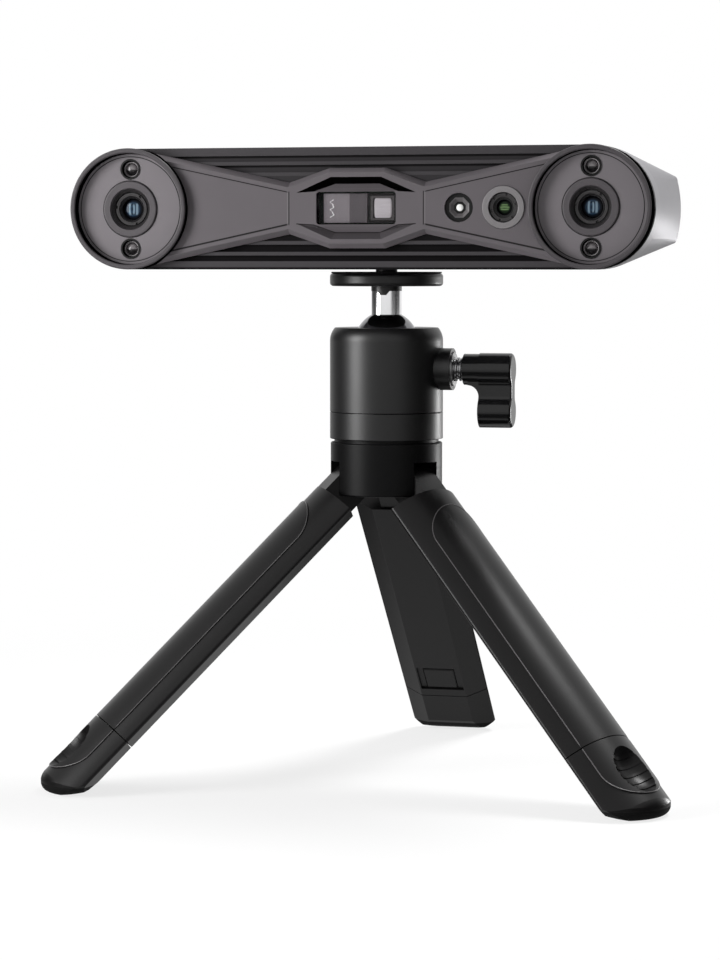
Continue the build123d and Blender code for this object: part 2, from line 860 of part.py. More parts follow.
def usb_board_back():
    """Rear face of the socket's board."""
    return usb_depth() + usb_height / 2 + camera_board_thickness


def usb_board_centre():
    """Middle of the socket's board along the length."""
    return -end_wall(usb_depth()) + shell_wall + usb_board_gap + usb_board_length / 2


def usb_board():
    """Small board that carries the socket."""
    half = usb_board_length / 2
    x = usb_board_centre()
    return block(x - half, x + half, usb_depth() + usb_height / 2, usb_board_back(),
                 -usb_board_height / 2, usb_board_height / 2)


def usb_socket():
    """Oval socket shell with its contact tongue."""
    outer = Box(usb_length, usb_height, usb_width)
    outer = fillet(outer.edges().filter_by(Axis.X), usb_corner)
    inner = Box(usb_length, usb_height - 2 * usb_wall, usb_width - 2 * usb_wall)
    inner = fillet(inner.edges().filter_by(Axis.X), usb_corner - usb_wall)
    socket = outer - Pos(-usb_wall, 0, 0) * inner
    socket += Pos(usb_wall, 0, 0) * Box(usb_length - 2 * usb_wall, usb_tongue_thickness, usb_tongue_width)
    start = -end_wall(usb_depth()) + usb_wall
    return Pos(start + usb_length / 2, usb_depth(), 0) * socket


def scanner_parts():
    """Every piece of the scanner, about its own centre line."""
    parts = {
        "front_frame": front_frame(),
        "front_fascia": front_fascia(),
        "rear_shell": rear_shell(),
        "infrared_sleeves": infrared_sleeves(),
        "infrared_leds": infrared_leds(),
        "white_light_holder": white_holder(),
        "white_light": white_led(),
        "colour_camera_ring": colour_ring(),
        "colour_lens_barrel": colour_barrel(),
        "colour_lens_glass": colour_glass(),
        "projector_window": projector_window(),
        "pattern_projector": pattern_projector(),
        "projector_lens": projector_lens(),
        "laser_module": laser_module(),
        "tripod_insert": tripod_insert(),
        "case_screws": case_screws(),
        "camera_lenses": camera_lenses(),
        "camera_boards": camera_boards(),
        "main_board": main_board(),
        "board_screws": board_screws(),
        "optics_board": optics_board(),
        "scan_button": scan_button(),
        "button_switch": button_switch(),
        "status_light": status_light(),
        "usb_board": usb_board(),
        "usb_socket": usb_socket(),
    }
    for name, side in camera_sides.items():
        parts[name + "_bezel_ring"] = bezel_ring(side)
        parts[name + "_camera_plate"] = camera_plate(side)
        parts[name + "_lens_hood"] = lens_hood(side)
        parts[name + "_lens_barrel"] = lens_barrel(side)
    return {name: Pos(0, 0, scanner_height) * part for name, part in parts.items()}


# Ball head
def turned(points, arc_middles=()):
    """Solid of revolution about the tripod's axis from (radius, height) points.

    arc_middles maps the index of a run to the point its arc passes through.
    """
    middles = dict(arc_middles)
    edges = []
    count = len(points)
    for index in range(count):
        start = points[index]
        end = points[(index + 1) % count]
        if index in middles:
            middle = middles[index]
            edges.append(Edge.make_three_point_arc(
                (start[0], 0, start[1]), (middle[0], 0, middle[1]), (end[0], 0, end[1])))
        else:
            edges.append(Edge.make_line((start[0], 0, start[1]), (end[0], 0, end[1])))
    return Part() + Solid.revolve(Face(Wire(edges)), 360, Axis.Z)


def ball_stem():
    """Ball and its stem, in one piece, with a key slot under the top plate."""
    stem = Pos(0, 0, ball_height) * Sphere(ball_radius)
    stem += post(stem_radius, ball_height, stem_top())
    stem -= stem_key(0)
    return stem - post(screw_radius, plate_bottom - screw_depth, plate_bottom + cut_over)


def stem_top():
    """Height where the stem meets the plate's neck."""
    return plate_bottom - collar_under_plate


def stem_key(clearance):
    """Tapered key in the front of the stem's top; with a clearance it is the smaller tab that fits it."""
    top = stem_top()
    half = stem_key_top_width / 2 - clearance
    floor = stem_key_floor_width / 2 - clearance
    key = face_xz([(-half, top), (-floor, top - stem_key_depth + clearance),
                   (floor, top - stem_key_depth + clearance), (half, top)], -stem_radius)
    return Part() + Solid.extrude(key, Vector(0, stem_radius, 0))


def top_plate():
    """Round plate that the scanner is screwed down to, with a neck and a tab that keys into the stem."""
    plate = post(plate_radius, plate_bottom, plate_top - pad_height)
    plate = fillet(plate.edges().filter_by(GeomType.CIRCLE), plate_edge)
    plate += post(stem_radius, stem_top(), plate_bottom)
    plate += stem_key(running_fit) & post(stem_radius, stem_top() - stem_key_depth, stem_top())
    return plate - post(screw_radius, plate_bottom - screw_depth, plate_top + cut_over)


def plate_pad():
    """Rubber pad on the top plate."""
    pad = post(plate_radius - pad_inset, plate_top - pad_height, plate_top)
    return pad - post(screw_radius, plate_bottom, plate_top + cut_over)


def mounting_screw():
    """Quarter inch screw through the plate into the stem."""
    screw = post(screw_radius, plate_bottom - screw_depth, plate_top + screw_reach)
    return chamfer(screw.edges().filter_by(GeomType.CIRCLE), edge_break)


def ball_cup():
    """Seat under the ball that turns with it in the housing."""
    cup = post(cup_radius, cup_bottom, ball_height - cup_top_drop)
    cup -= Pos(0, 0, ball_height) * Sphere(ball_radius + running_fit)
    return cup - post(cup_floor_radius, cup_bottom - cut_over, ball_height)


def ball_housing():
    """Clamp housing: ball socket above, bore for the cup below and a boss for the clamp screw.

    The shoulder is an arc tangent to the side: its radius is (inset^2 + height^2) / (2 inset).
    """
    shoulder = rim_height - shoulder_height
    radius = (shoulder_inset ** 2 + shoulder_height ** 2) / (2 * shoulder_inset)
    half_angle = asin(shoulder_height / radius) / 2
    arc_middle = (housing_radius - radius * (1 - cos(half_angle)), shoulder + radius * sin(half_angle))
    body = turned(
        [(0, housing_bottom), (housing_radius, housing_bottom), (housing_radius, shoulder),
         (housing_radius - shoulder_inset, rim_height), (0, rim_height)],
        [(2, arc_middle)])
    body += barrel_x(boss_radius, 0, boss_end, 0, knob_axis_height)
    body -= post(housing_bore, housing_bottom - cut_over, ball_height)
    body -= Pos(0, 0, ball_height) * Sphere(ball_radius + running_fit)
    body -= barrel_x(clamp_radius + running_fit, 0, boss_end + cut_over, 0, knob_axis_height)
    return body - barrel_x(bush_radius, boss_end - 2 * bush_proud, boss_end + cut_over, 0, knob_axis_height)


def housing_base():
    """Lower part of the head: closed base with the ring that carries the cup."""
    base = post(housing_radius, base_bottom, housing_bottom - seam_gap / 2)
    base = fillet(base.edges().filter_by(GeomType.CIRCLE), edge_break / 2)
    ring = post(housing_bore - running_fit, housing_bottom - seam_gap, cup_bottom - running_fit)
    ring -= post(housing_bore - base_wall, housing_bottom - seam_gap, cup_bottom)
    base += ring
    return base - post(stud_radius + running_fit, base_bottom - cut_over, stud_top())


def stud_top():
    """Top of the stud that joins the head to the leg hub."""
    return housing_bottom - base_wall


def hub_stud():
    """Threaded stud between the leg hub and the head."""
    return post(stud_radius, slot_top + edge_break, stud_top())


def knob_bush():
    """Metal bush in the mouth of the clamp boss."""
    bush = barrel_x(bush_radius - running_fit, boss_end - 2 * bush_proud, boss_end + bush_proud, 0,
                    knob_axis_height)
    return bush - barrel_x(clamp_radius + running_fit, 0, boss_end + cut_over, 0, knob_axis_height)


def clamp_screw():
    """Clamp screw with its thread grooves between bush and knob."""
    start = cup_radius + slide_fit + clamp_tip_length
    screw = barrel_x(clamp_radius, start, knob_start, 0, knob_axis_height)
    x = boss_end + bush_proud + thread_pitch / 2
    while x < collar_start - thread_pitch / 2:
        groove = barrel_x(clamp_radius + cut_over, x, x + thread_pitch / 2, 0, knob_axis_height)
        groove -= barrel_x(clamp_radius - thread_depth, x, x + thread_pitch / 2, 0, knob_axis_height)
        screw -= groove
        x += thread_pitch
    return screw


def clamp_pad():
    """Soft tip that presses on the cup."""
    start = cup_radius + slide_fit
    return barrel_x(clamp_tip_radius, start, start + clamp_tip_length, 0, knob_axis_height)


def clamp_knob():
    """Wing knob: collar, round barrel and one rounded wing below, with a waist between."""
    drop = wing_reach - wing_end_radius
    knob = barrel_x(knob_radius, knob_start, knob_end)
    knob += barrel_x(wing_end_radius, knob_start, knob_end, 0, -drop)
    knob += block(knob_start, knob_end, -wing_waist_width / 2, wing_waist_width / 2, -drop, 0)
    hollow = [edge for edge in knob.edges().filter_by(Axis.X)
              if abs(abs(edge.center().Y) - wing_waist_width / 2) < edge_break / 2]
    knob = fillet(hollow, wing_waist_radius / 2)
    ends = knob.edges().filter_by_position(Axis.X, knob_end - edge_break, knob_end + edge_break)
    knob = fillet([edge for edge in ends if abs(edge.center().X - knob_end) < edge_break / 4], knob_rounding)
    knob += barrel_x(collar_radius, collar_start, knob_start)
    web_low = -collar_radius - web_radius
    web = block(knob_start - web_radius, knob_start, -wing_waist_width / 2, wing_waist_width / 2, web_low, 0)
    knob += web - Pos(knob_start - web_radius, 0, web_low) * Rot(90, 0, 0) * Cylinder(
        web_radius, wing_waist_width + 2 * cut_over)
    knob -= barrel_x(clamp_radius, collar_start - cut_over, knob_start)
    return Pos(0, 0, knob_axis_height) * knob


def head_parts():
    """Every piece of the ball head."""
    return {
        "ball_stem": ball_stem(),
        "top_plate": top_plate(),
        "plate_pad": plate_pad(),
        "mounting_screw": mounting_screw(),
        "ball_cup": ball_cup(),
        "ball_housing": ball_housing(),
        "housing_base": housing_base(),
        "hub_stud": hub_stud(),
        "knob_bush": knob_bush(),
        "clamp_screw": clamp_screw(),
        "clamp_pad": clamp_pad(),
        "clamp_knob": clamp_knob(),
    }


# Tripod
def spread_out(shape, azimuth):
    """Leg piece swung out about its pin and turned to its place round the hub."""
    pin = Axis((pivot_radius, 0, pivot_height), (0, 1, 0))
    return shape.rotate(pin, -leg_spread).rotate(Axis.Z, azimuth)


def hinge_pin(radius, half_length):
    """Cylinder along a leg's hinge axis, before it is turned to its place."""
    return Pos(pivot_radius, 0, pivot_height) * Rot(90, 0, 0) * Cylinder(radius, 2 * half_length)


def leg_hub():
    """Hub with three slots for the legs and a neck under the head."""
    hub = post(hub_radius, hub_bottom, hub_top)
    hub = fillet(hub.edges().filter_by(GeomType.CIRCLE), edge_break)
    hub += post(neck_radius, hub_top - edge_break, hub_top + neck_height)
    slot = block(slot_inner_radius, hub_radius + cut_over, -slot_width / 2, slot_width / 2,
                 hub_bottom - cut_over, slot_top)
    bore = hinge_pin(pin_radius + running_fit / 2, pin_half_length + running_fit)
    for azimuth in leg_azimuths.values():
        hub -= slot.rotate(Axis.Z, azimuth)
        hub -= bore.rotate(Axis.Z, azimuth)
    return hub - post(stud_radius + running_fit, slot_top + edge_break, hub_top + neck_height + cut_over)


def leg_pins():
    """Three hinge pins across the slots."""
    pin = hinge_pin(pin_radius, pin_half_length)
    return together([pin.rotate(Axis.Z, azimuth) for azimuth in leg_azimuths.values()])


def leg_bar(radius, start, end):
    """Leg section between two distances below the pin: an outer arc, two side facets, an inner flat.

    Each facet lies half the gap inside a plane at 60 degrees, so y = tan(60) x - gap; the arc ends
    where that line meets the circle of the radius.
    """
    slope = tan(pi / leg_count)
    inner = slope * inner_flat - leg_side_gap
    square = 1 + slope ** 2
    x = (slope * leg_side_gap + sqrt(square * radius ** 2 - leg_side_gap ** 2)) / square
    y = slope * x - leg_side_gap
    edges = [
        Edge.make_line((inner_flat, -inner), (x, -y)),
        Edge.make_three_point_arc((x, -y), (radius, 0), (x, y)),
        Edge.make_line((x, y), (inner_flat, inner)),
        Edge.make_line((inner_flat, inner), (inner_flat, -inner)),
    ]
    section = Face(Wire(edges))
    outer = [vertex for vertex in section.vertices() if vertex.X > inner_flat + inner_corner]
    section = section.fillet_2d(leg_corner, outer)
    inside = [vertex for vertex in section.vertices() if vertex.X < inner_flat + inner_corner / 2]
    section = section.fillet_2d(inner_corner, inside)
    bar = Solid.extrude(section, Vector(0, 0, end - start))
    return Part() + Pos(0, 0, pivot_height - end) * bar


def grip_panel(start, end):
    """Raised panel on the outer face, a long slot shape with round ends, between two distances."""
    middle = (panel_top + panel_bottom) / 2
    outline = SlotOverall(panel_bottom - panel_top, 2 * panel_half_width, rotation=90)
    slab = extrude(Plane.YZ * outline, leg_radius + cut_over)
    slab = Pos(0, 0, pivot_height - middle) * slab
    return leg_bar(leg_radius, start, end) & slab


def plain_leg(start, end):
    """Leg section with its raised panel."""
    return leg_bar(leg_radius - panel_step, start, end) + grip_panel(start, end)


def channel(start, end, clearance):
    """Space or rail inside the leg between two distances below the pin."""
    half = rail_half_width + clearance
    return block(rail_in - clearance, rail_out + clearance, -half, half,
                 pivot_height - end, pivot_height - start)


def catch_block(length, width, start, end):
    """Block on the inner flat, above the joint of leg and foot, between two depths into the leg."""
    middle = pivot_height - leg_joint + catch_above_joint
    return block(inner_flat + start, inner_flat + end, -width / 2, width / 2,
                 middle - length / 2, middle + length / 2)


def catch_start():
    """Face of the catch below the inner flat."""
    return catch_recess_depth / 4


def leg():
    """Upper leg: tongue on the pin, shoulder, channel for the foot's rail and the catch's pocket."""
    shape = plain_leg(shoulder_start, leg_joint)
    tongue = block(pivot_radius - tongue_end_radius, pivot_radius + tongue_end_radius,
                   -tongue_width / 2, tongue_width / 2,
                   pivot_height - shoulder_start - cut_over, pivot_height)
    tongue += hinge_pin(tongue_end_radius, tongue_width / 2)
    shape += tongue
    shape -= hinge_pin(pin_radius + running_fit, tongue_width)
    shape -= channel(rail_start - rail_end_gap, leg_joint + cut_over, slide_fit)
    shape -= catch_block(catch_recess_length, catch_recess_width, -cut_over, catch_recess_depth)
    pocket_depth_in = catch_start() + catch_thickness + catch_travel + slide_fit
    return shape - catch_block(catch_length + 2 * slide_fit, catch_width + 2 * slide_fit,
                               -cut_over, pocket_depth_in)


def catch():
    """Push catch in the inner face of the leg."""
    tab = catch_block(catch_length, catch_width, catch_start(), catch_start() + catch_thickness)
    return chamfer(tab.faces().sort_by(Axis.X)[0].edges(), catch_recess_depth / 2)


def on_leg(reach, height):
    """Point of the standing tripod, as (distance from axis, height), seen on the closed leg."""
    angle = radians(leg_spread)
    run = reach - pivot_radius
    fall = pivot_height - height
    along = run * sin(angle) + fall * cos(angle)
    out = pivot_radius + run * cos(angle) - fall * sin(angle)
    return (out, pivot_height - along)


def floor_slab(height):
    """Everything below a height on the standing tripod, as seen on the closed leg."""
    corners = [on_leg(x, z) for x, z in ((0, height), (2 * leg_joint, height),
                                         (2 * leg_joint, height - leg_joint), (0, height - leg_joint))]
    face = face_xz(corners, -2 * leg_radius)
    return Part() + Solid.extrude(face, Vector(0, 4 * leg_radius, 0))


def nose_tip():
    """Reach where the outer line of the foot would meet the floor."""
    angle = radians(leg_spread)
    rise = leg_radius + edge_break - pivot_radius
    return pivot_radius + rise * cos(angle) + (pivot_height + rise * sin(angle)) * tan(angle)


def toe_centre():
    """Centre of the toe's rounding on the closed leg, as (distance from axis, distance below the pin)."""
    angle = radians(leg_spread)
    out = leg_radius - panel_step + toe_blend - toe_crown
    return out, (pivot_height + (out - pivot_radius) * sin(angle) - toe_edge) / cos(angle)


def toe_reach():
    """Reach of the toe's upright wall, one blend inside the end of the rounding."""
    angle = radians(leg_spread)
    out, along = toe_centre()
    return pivot_radius + along * sin(angle) + (out - pivot_radius) * cos(angle) + toe_crown - toe_blend


def foot_profile():
    """Side view of the foot: joint, outer line, flat sole and raised heel."""
    outside = leg_radius + edge_break
    flat_end = toe_reach() - toe_edge - sole_flat_length
    lift_reach = flat_end - sole_lift_run
    joint = pivot_height - leg_joint - seam_gap
    heel = on_leg(lift_reach - sole_heel_run, sole_heel_rise)
    points = [(heel[0], joint), (outside, joint), on_leg(nose_tip(), 0), on_leg(flat_end, 0),
              on_leg(lift_reach, sole_lift_rise), heel]
    return Part() + Solid.extrude(face_xz(points, -2 * leg_radius), Vector(0, 4 * leg_radius, 0))


def thumb_dimple():
    """Oval thumb hollow with grip ridges across it, from an ellipse turned about the leg's length."""
    centre = leg_radius + dimple_half_width - dimple_depth
    height = pivot_height - dimple_centre

    def oval(shrink):
        long_axis = dimple_half_length - shrink
        wide_axis = dimple_half_width - shrink
        half = Face(Wire([
            Edge.make_ellipse(long_axis, wide_axis, Plane((0, 0, 0), (0, 0, 1), (0, 1, 0)), 0, 180),
            Edge.make_line((0, 0, -long_axis), (0, 0, long_axis)),
        ]))
        return Part() + Pos(centre, 0, height) * Solid.revolve(half, 360, Axis.Z)

    hollow = oval(0)
    band = hollow - oval(ridge_height)
    for index in range(ridge_count):
        z = height + (index - (ridge_count - 1) / 2) * ridge_pitch
        slab = block(0, 2 * centre, -leg_radius, leg_radius, z - ridge_width / 2, z + ridge_width / 2)
        hollow -= band & slab
    return hollow


def turned_toe():
    """Space round the tripod's axis that rounds the closed leg's outer face over its lower end."""
    out, along = toe_centre()
    start = pivot_height - along
    joint = pivot_height - leg_joint + cut_over
    wide = leg_radius + cut_over
    edge = (out + toe_crown, 0, start)
    middle = (out + toe_crown * cos(pi / 4), 0, start - toe_crown * sin(pi / 4))
    low = (out, 0, start - toe_crown)
    corners = [low, (0, 0, start - toe_crown), (0, 0, joint), (wide, 0, joint), (wide, 0, start), edge]
    edges = [Edge.make_line(first, second) for first, second in zip(corners, corners[1:])]
    edges.append(Edge.make_three_point_arc(edge, middle, low))
    return Part() + revolve(Face(Wire(edges)), Axis.Z)


def curved_floor():
    """Space above a floor that rises at both sides of the foot and ends in a round toe, on the closed leg."""
    flat = sole_flat_half_width
    side = leg_radius * sin(pi / leg_count)
    middle = ((flat + side) / 2, sole_side_bow_share * sole_side_rise)
    edges = [
        Edge.make_line((0, -flat, 0), (0, flat, 0)),
        Edge.make_three_point_arc((0, flat, 0), (0, *middle), (0, side, sole_side_rise)),
        Edge.make_line((0, side, sole_side_rise), (0, side, leg_joint)),
        Edge.make_line((0, side, leg_joint), (0, -side, leg_joint)),
        Edge.make_line((0, -side, leg_joint), (0, -side, sole_side_rise)),
        Edge.make_three_point_arc((0, -side, sole_side_rise), (0, -middle[0], middle[1]), (0, -flat, 0)),
    ]
    space = Part() + Solid.extrude(Face(Wire(edges)), Vector(2 * leg_joint, 0, 0))
    centre = toe_reach() - toe_radius
    toe = post(toe_radius, 0, leg_joint)
    toe = fillet(toe.edges().filter_by(GeomType.CIRCLE).sort_by(Axis.Z)[:1], toe_edge)
    space &= Pos(centre, 0, 0) * toe + block(0, centre, -toe_radius, toe_radius, 0, leg_joint)
    return space.rotate(Axis((pivot_radius, 0, pivot_height), (0, 1, 0)), leg_spread)


def whole_foot():
    """Foot and sole before they are parted."""
    end = pivot_height / cos(radians(leg_spread)) + 2 * leg_radius
    return plain_leg(leg_joint, end) & foot_profile() & curved_floor() & turned_toe()


def foot():
    """Telescoping foot: rail into the leg, thumb dimple on the outside."""
    shape = whole_foot() - floor_slab(sole_thickness) - thumb_dimple()
    return shape + channel(rail_start, leg_joint + 2 * seam_gap, 0)


def sole():
    """Rubber sole, flat on the floor."""
    return whole_foot() & floor_slab(sole_thickness)


def tripod_parts():
    """Every piece of the tripod."""
    parts = {"leg_hub": leg_hub(), "leg_pins": leg_pins()}
    pieces = {"leg": leg(), "catch": catch(), "foot": foot(), "sole": sole()}
    for side, azimuth in leg_azimuths.items():
        for name, piece in pieces.items():
            parts[side + "_" + name] = spread_out(piece, azimuth)
    return parts


def whole_part():
    """All pieces, moved so that the origin is under the middle of the standing object's box."""
    parts = {**scanner_parts(), **head_parts(), **tripod_parts()}
    boxes = [part.bounding_box() for part in parts.values()]
    low_x = min(box.min.X for box in boxes)
    high_x = max(box.max.X for box in boxes)
    low_y = min(box.min.Y for box in boxes)
    high_y = max(box.max.Y for box in boxes)
    floor = min(box.min.Z for box in boxes)
    shift = Pos(-(low_x + high_x) / 2, -(low_y + high_y) / 2, -floor)
    return {name: shift * part for name, part in parts.items()}, shift.position


os.makedirs("parts", exist_ok=True)
pieces, origin_shift = whole_part()
for node, piece in pieces.items():
    export_step(piece, "parts/" + node + ".step")
print(len(pieces), "pieces, shift", origin_shift)
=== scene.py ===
"""Three-d scanner on a folding mini tripod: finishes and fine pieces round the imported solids."""
import json
import math

import bmesh
import bpy
import numpy as np
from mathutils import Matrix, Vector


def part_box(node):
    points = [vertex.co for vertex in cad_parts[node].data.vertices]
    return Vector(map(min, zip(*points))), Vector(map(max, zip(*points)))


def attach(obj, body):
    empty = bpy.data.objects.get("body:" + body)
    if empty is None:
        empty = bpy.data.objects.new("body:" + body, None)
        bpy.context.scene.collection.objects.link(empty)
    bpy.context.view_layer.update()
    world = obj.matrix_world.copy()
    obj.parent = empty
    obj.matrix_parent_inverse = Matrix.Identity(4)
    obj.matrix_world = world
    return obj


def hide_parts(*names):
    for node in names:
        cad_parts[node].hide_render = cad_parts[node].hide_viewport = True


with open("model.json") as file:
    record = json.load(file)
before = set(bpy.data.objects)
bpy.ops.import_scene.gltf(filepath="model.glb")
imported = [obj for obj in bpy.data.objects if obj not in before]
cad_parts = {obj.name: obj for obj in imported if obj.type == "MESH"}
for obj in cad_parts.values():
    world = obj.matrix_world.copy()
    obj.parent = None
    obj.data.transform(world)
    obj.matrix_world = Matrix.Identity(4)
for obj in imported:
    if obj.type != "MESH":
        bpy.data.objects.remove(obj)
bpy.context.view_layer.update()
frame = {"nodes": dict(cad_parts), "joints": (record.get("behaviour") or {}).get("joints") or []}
nodes = frame["nodes"]
joints = {joint["name"]: joint for joint in frame["joints"]}

MM = 0.001
TURN = 2 * math.pi
EYES = ("left", "right")
LEGS = ("left", "right", "rear")


def corner(node, end):
    """Low (0) or high (1) corner of a node's box, in metres."""
    return np.array(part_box(node)[end])


def middle(node):
    """Middle of a node's box, in metres."""
    return (corner(node, 0) + corner(node, 1)) / 2


axis_y = middle("ball_stem")[1]
scanner_z = middle("front_frame")[2]
ring_y = corner("left_bezel_ring", 0)[1]


# Shader maths
class Value:
    """A socket that takes part in Python maths: each operator adds a Math node to its tree."""

    def __init__(self, shader, socket):
        self.shader = shader
        self.socket = socket

    def maths(self, operation, *others):
        inputs = {0: self}
        inputs.update({index + 1: other for index, other in enumerate(others)})
        return self.shader.node("Math", {"operation": operation}, inputs)

    def __add__(self, other):
        return self.maths("ADD", other)

    def __mul__(self, other):
        return self.maths("MULTIPLY", other)

    def __sub__(self, other):
        return self.maths("SUBTRACT", other)

    def __rsub__(self, other):
        return self.shader.node("Math", {"operation": "SUBTRACT"}, {0: other, 1: self})

    __radd__ = __add__
    __rmul__ = __mul__

    def size(self):
        return self.maths("ABSOLUTE")

    def least(self, other):
        return self.maths("MINIMUM", other)

    def most(self, other):
        return self.maths("MAXIMUM", other)

    def band(self, centre, half, soft):
        """1 within half of a centre, falling to 0 over a soft edge."""
        return 1 - (self - centre).size().step(half, half + soft)

    def step(self, low, high):
        """Smooth rise from 0 at low to 1 at high; a fall where low is the larger."""
        return self.shader.node("MapRange", {"interpolation_type": "SMOOTHSTEP"},
                                {"Value": self, "From Min": low, "From Max": high})


class Shader:
    """A node tree with one method that makes any node."""

    def __init__(self, tree):
        self.tree = tree
        tree.nodes.clear()

    def node(self, kind, settings=None, inputs=None, output=0):
        """One node: its settings are set first, then its sockets get values or links."""
        made = self.tree.nodes.new("ShaderNode" + kind)
        for key, setting in (settings or {}).items():
            if key == "stops":
                self.stops(made.color_ramp, setting)
            else:
                setattr(made, key, setting)
        for key, value in (inputs or {}).items():
            if isinstance(value, Value):
                self.tree.links.new(value.socket, made.inputs[key])
            else:
                made.inputs[key].default_value = value
        return Value(self, made.outputs[output]) if made.outputs else None

    @staticmethod
    def stops(ramp, stops):
        """Stops of a colour ramp as (place, colour), in rising order."""
        while len(ramp.elements) > 1:
            ramp.elements.remove(ramp.elements[-1])
        ramp.elements[0].position = stops[0][0]
        ramp.elements[0].color = (*stops[0][1], 1)
        for place, colour in stops[1:]:
            ramp.elements.new(place).color = (*colour, 1)

    def blend(self, share, first, second):
        """Colour between two colours."""
        inputs = {0: share}
        for key, colour in ((6, first), (7, second)):
            inputs[key] = colour if isinstance(colour, Value) else (*colour, 1)
        return self.node("Mix", {"data_type": "RGBA"}, inputs, 2)

    def place(self, stretch=None):
        """Object coordinates, stretched where a pattern asks for it."""
        spot = self.node("TexCoord", None, None, "Object")
        if stretch is None:
            return spot
        return self.node("Mapping", None, {"Vector": spot, "Scale": stretch})

    def axis(self, name):
        """One object coordinate, in metres."""
        return self.node("SeparateXYZ", None, {"Vector": self.place()}, name)

    def mm(self, name, origin=0.0):
        """One object coordinate in mm, from an origin in metres."""
        return (self.axis(name) - origin) * (1 / MM)

    def noise(self, grain, detail=2.0, where=None):
        """Noise between 0 and 1 with features of about one grain, in metres."""
        return self.node("TexNoise", None, {"Vector": where or self.place(), "Scale": 1 / grain,
                                            "Detail": detail})

    def spread(self):
        """The piece's own map, from -1 to 1 across and up."""
        spot = self.node("UVMap", {"uv_map": "spread"})
        across = self.node("SeparateXYZ", None, {"Vector": spot}, "X")
        up = self.node("SeparateXYZ", None, {"Vector": spot}, "Y")
        return across * 2 - 1, up * 2 - 1

    def bump(self, height, depth):
        """Normal from a height between 0 and 1 and a depth in metres."""
        return self.node("Bump", None, {"Height": height, "Distance": depth, "Strength": 1.0})


# Finishes
SATIN_GRAIN = 0.25 * MM
SATIN_CLOUD = 9 * MM
FINE_GLOSS, CLOUD_GLOSS = 0.05, 0.04
PAINT_GRAIN = 0.22 * MM
PAINT_GLOSS = 0.06
PAINT_DEPTH = 0.006 * MM
CAST_DEPTH = 0.003 * MM
KNOB_DEPTH = 0.002 * MM
LEG_DEPTH = 0.0012 * MM
RUBBER_DEPTH = 0.02 * MM
# matt black for painted shade in recesses, grooves and under things
SHADE_BLACK = (0.001, 0.001, 0.001, 1)
# near black for painted shade in fine grooves and seams
LINE_SHADE = (0.008, 0.007, 0.0075)


def new_finish(name):
    """New material and its empty shader."""
    material = bpy.data.materials.new(name)
    material.use_nodes = True
    return material, Shader(material.node_tree)


def close(shader, painted_shade=None, **sockets):
    """Principled surface, mixed to matt black painted shade where the shade mask is 1; a socket name has
    underscores for spaces.
    """
    inputs = {}
    for key, value in sockets.items():
        if isinstance(value, tuple) and len(value) == 3:
            value = (*value, 1)
        inputs[key.replace("_", " ")] = value
    surface = shader.node("BsdfPrincipled", None, inputs)
    if painted_shade:
        black = shader.node("BsdfDiffuse", None, {"Color": SHADE_BLACK})
        surface = shader.node("MixShader", None, {0: painted_shade, 1: surface, 2: black})
    shader.node("OutputMaterial", None, {"Surface": surface})


def satin(name, dark, light, roughness, depth=PAINT_DEPTH, specular=0.35, metallic=0.0):
    """Moulded, blasted or painted surface: cloudy colour, fine grain in the gloss and in the normal."""
    material, s = new_finish(name)
    fine = s.noise(SATIN_GRAIN, detail=3.0)
    broad = s.noise(SATIN_CLOUD)
    colour = s.blend(broad * 0.7 + fine * 0.3, dark, light)
    gloss = fine * FINE_GLOSS + broad * CLOUD_GLOSS + (roughness - (FINE_GLOSS + CLOUD_GLOSS) / 2)
    close(s, Base_Color=colour, Roughness=gloss, Metallic=metallic, Specular_IOR_Level=specular,
          Normal=s.bump(fine, depth))
    return material


def painted(s, fine, paint, roughness, specular, painted_shade=None):
    """Close a painted surface, whose fine grain also shows in its gloss and its normal; a shade mask mixes
    in matt black painted shade.
    """
    close(s, painted_shade, Base_Color=paint, Roughness=fine * PAINT_GLOSS + roughness, Specular_IOR_Level=specular,
          Normal=s.bump(fine, PAINT_DEPTH))


def reach_of(first, second):
    """Length of a flat vector with two parts."""
    return (first * first + second * second).maths("SQRT")


def pocket_wall(across, up):
    """Masks of a fascia pocket's wall, between two chevrons, and of the line at its foot.

    A chevron is z = min(top, top - slope (|x| - half)), with x across and z up from the scanner's axis;
    the inner one flattens towards its ends.
    """
    def chevron(top, half, slope):
        """Sloping side of a chevron."""
        return top - (across - half) * slope

    outer_top, inner_top, pocket_end = 8.55, 6.72, 17.0
    outer = chevron(outer_top, half=7.15, slope=0.4365).least(outer_top)
    flat_end = chevron(4.58, half=11.9, slope=0.059)
    inner = chevron(inner_top, half=6.3, slope=0.375).most(flat_end).least(inner_top)
    within = across.step(pocket_end + 0.1, pocket_end - 0.1)
    wall = (outer - up).step(-0.02, 0.06) * (up - inner).step(-0.06, 0.02) * within
    return wall, (up - inner).band(0.02, 0.09, 0.09) * within


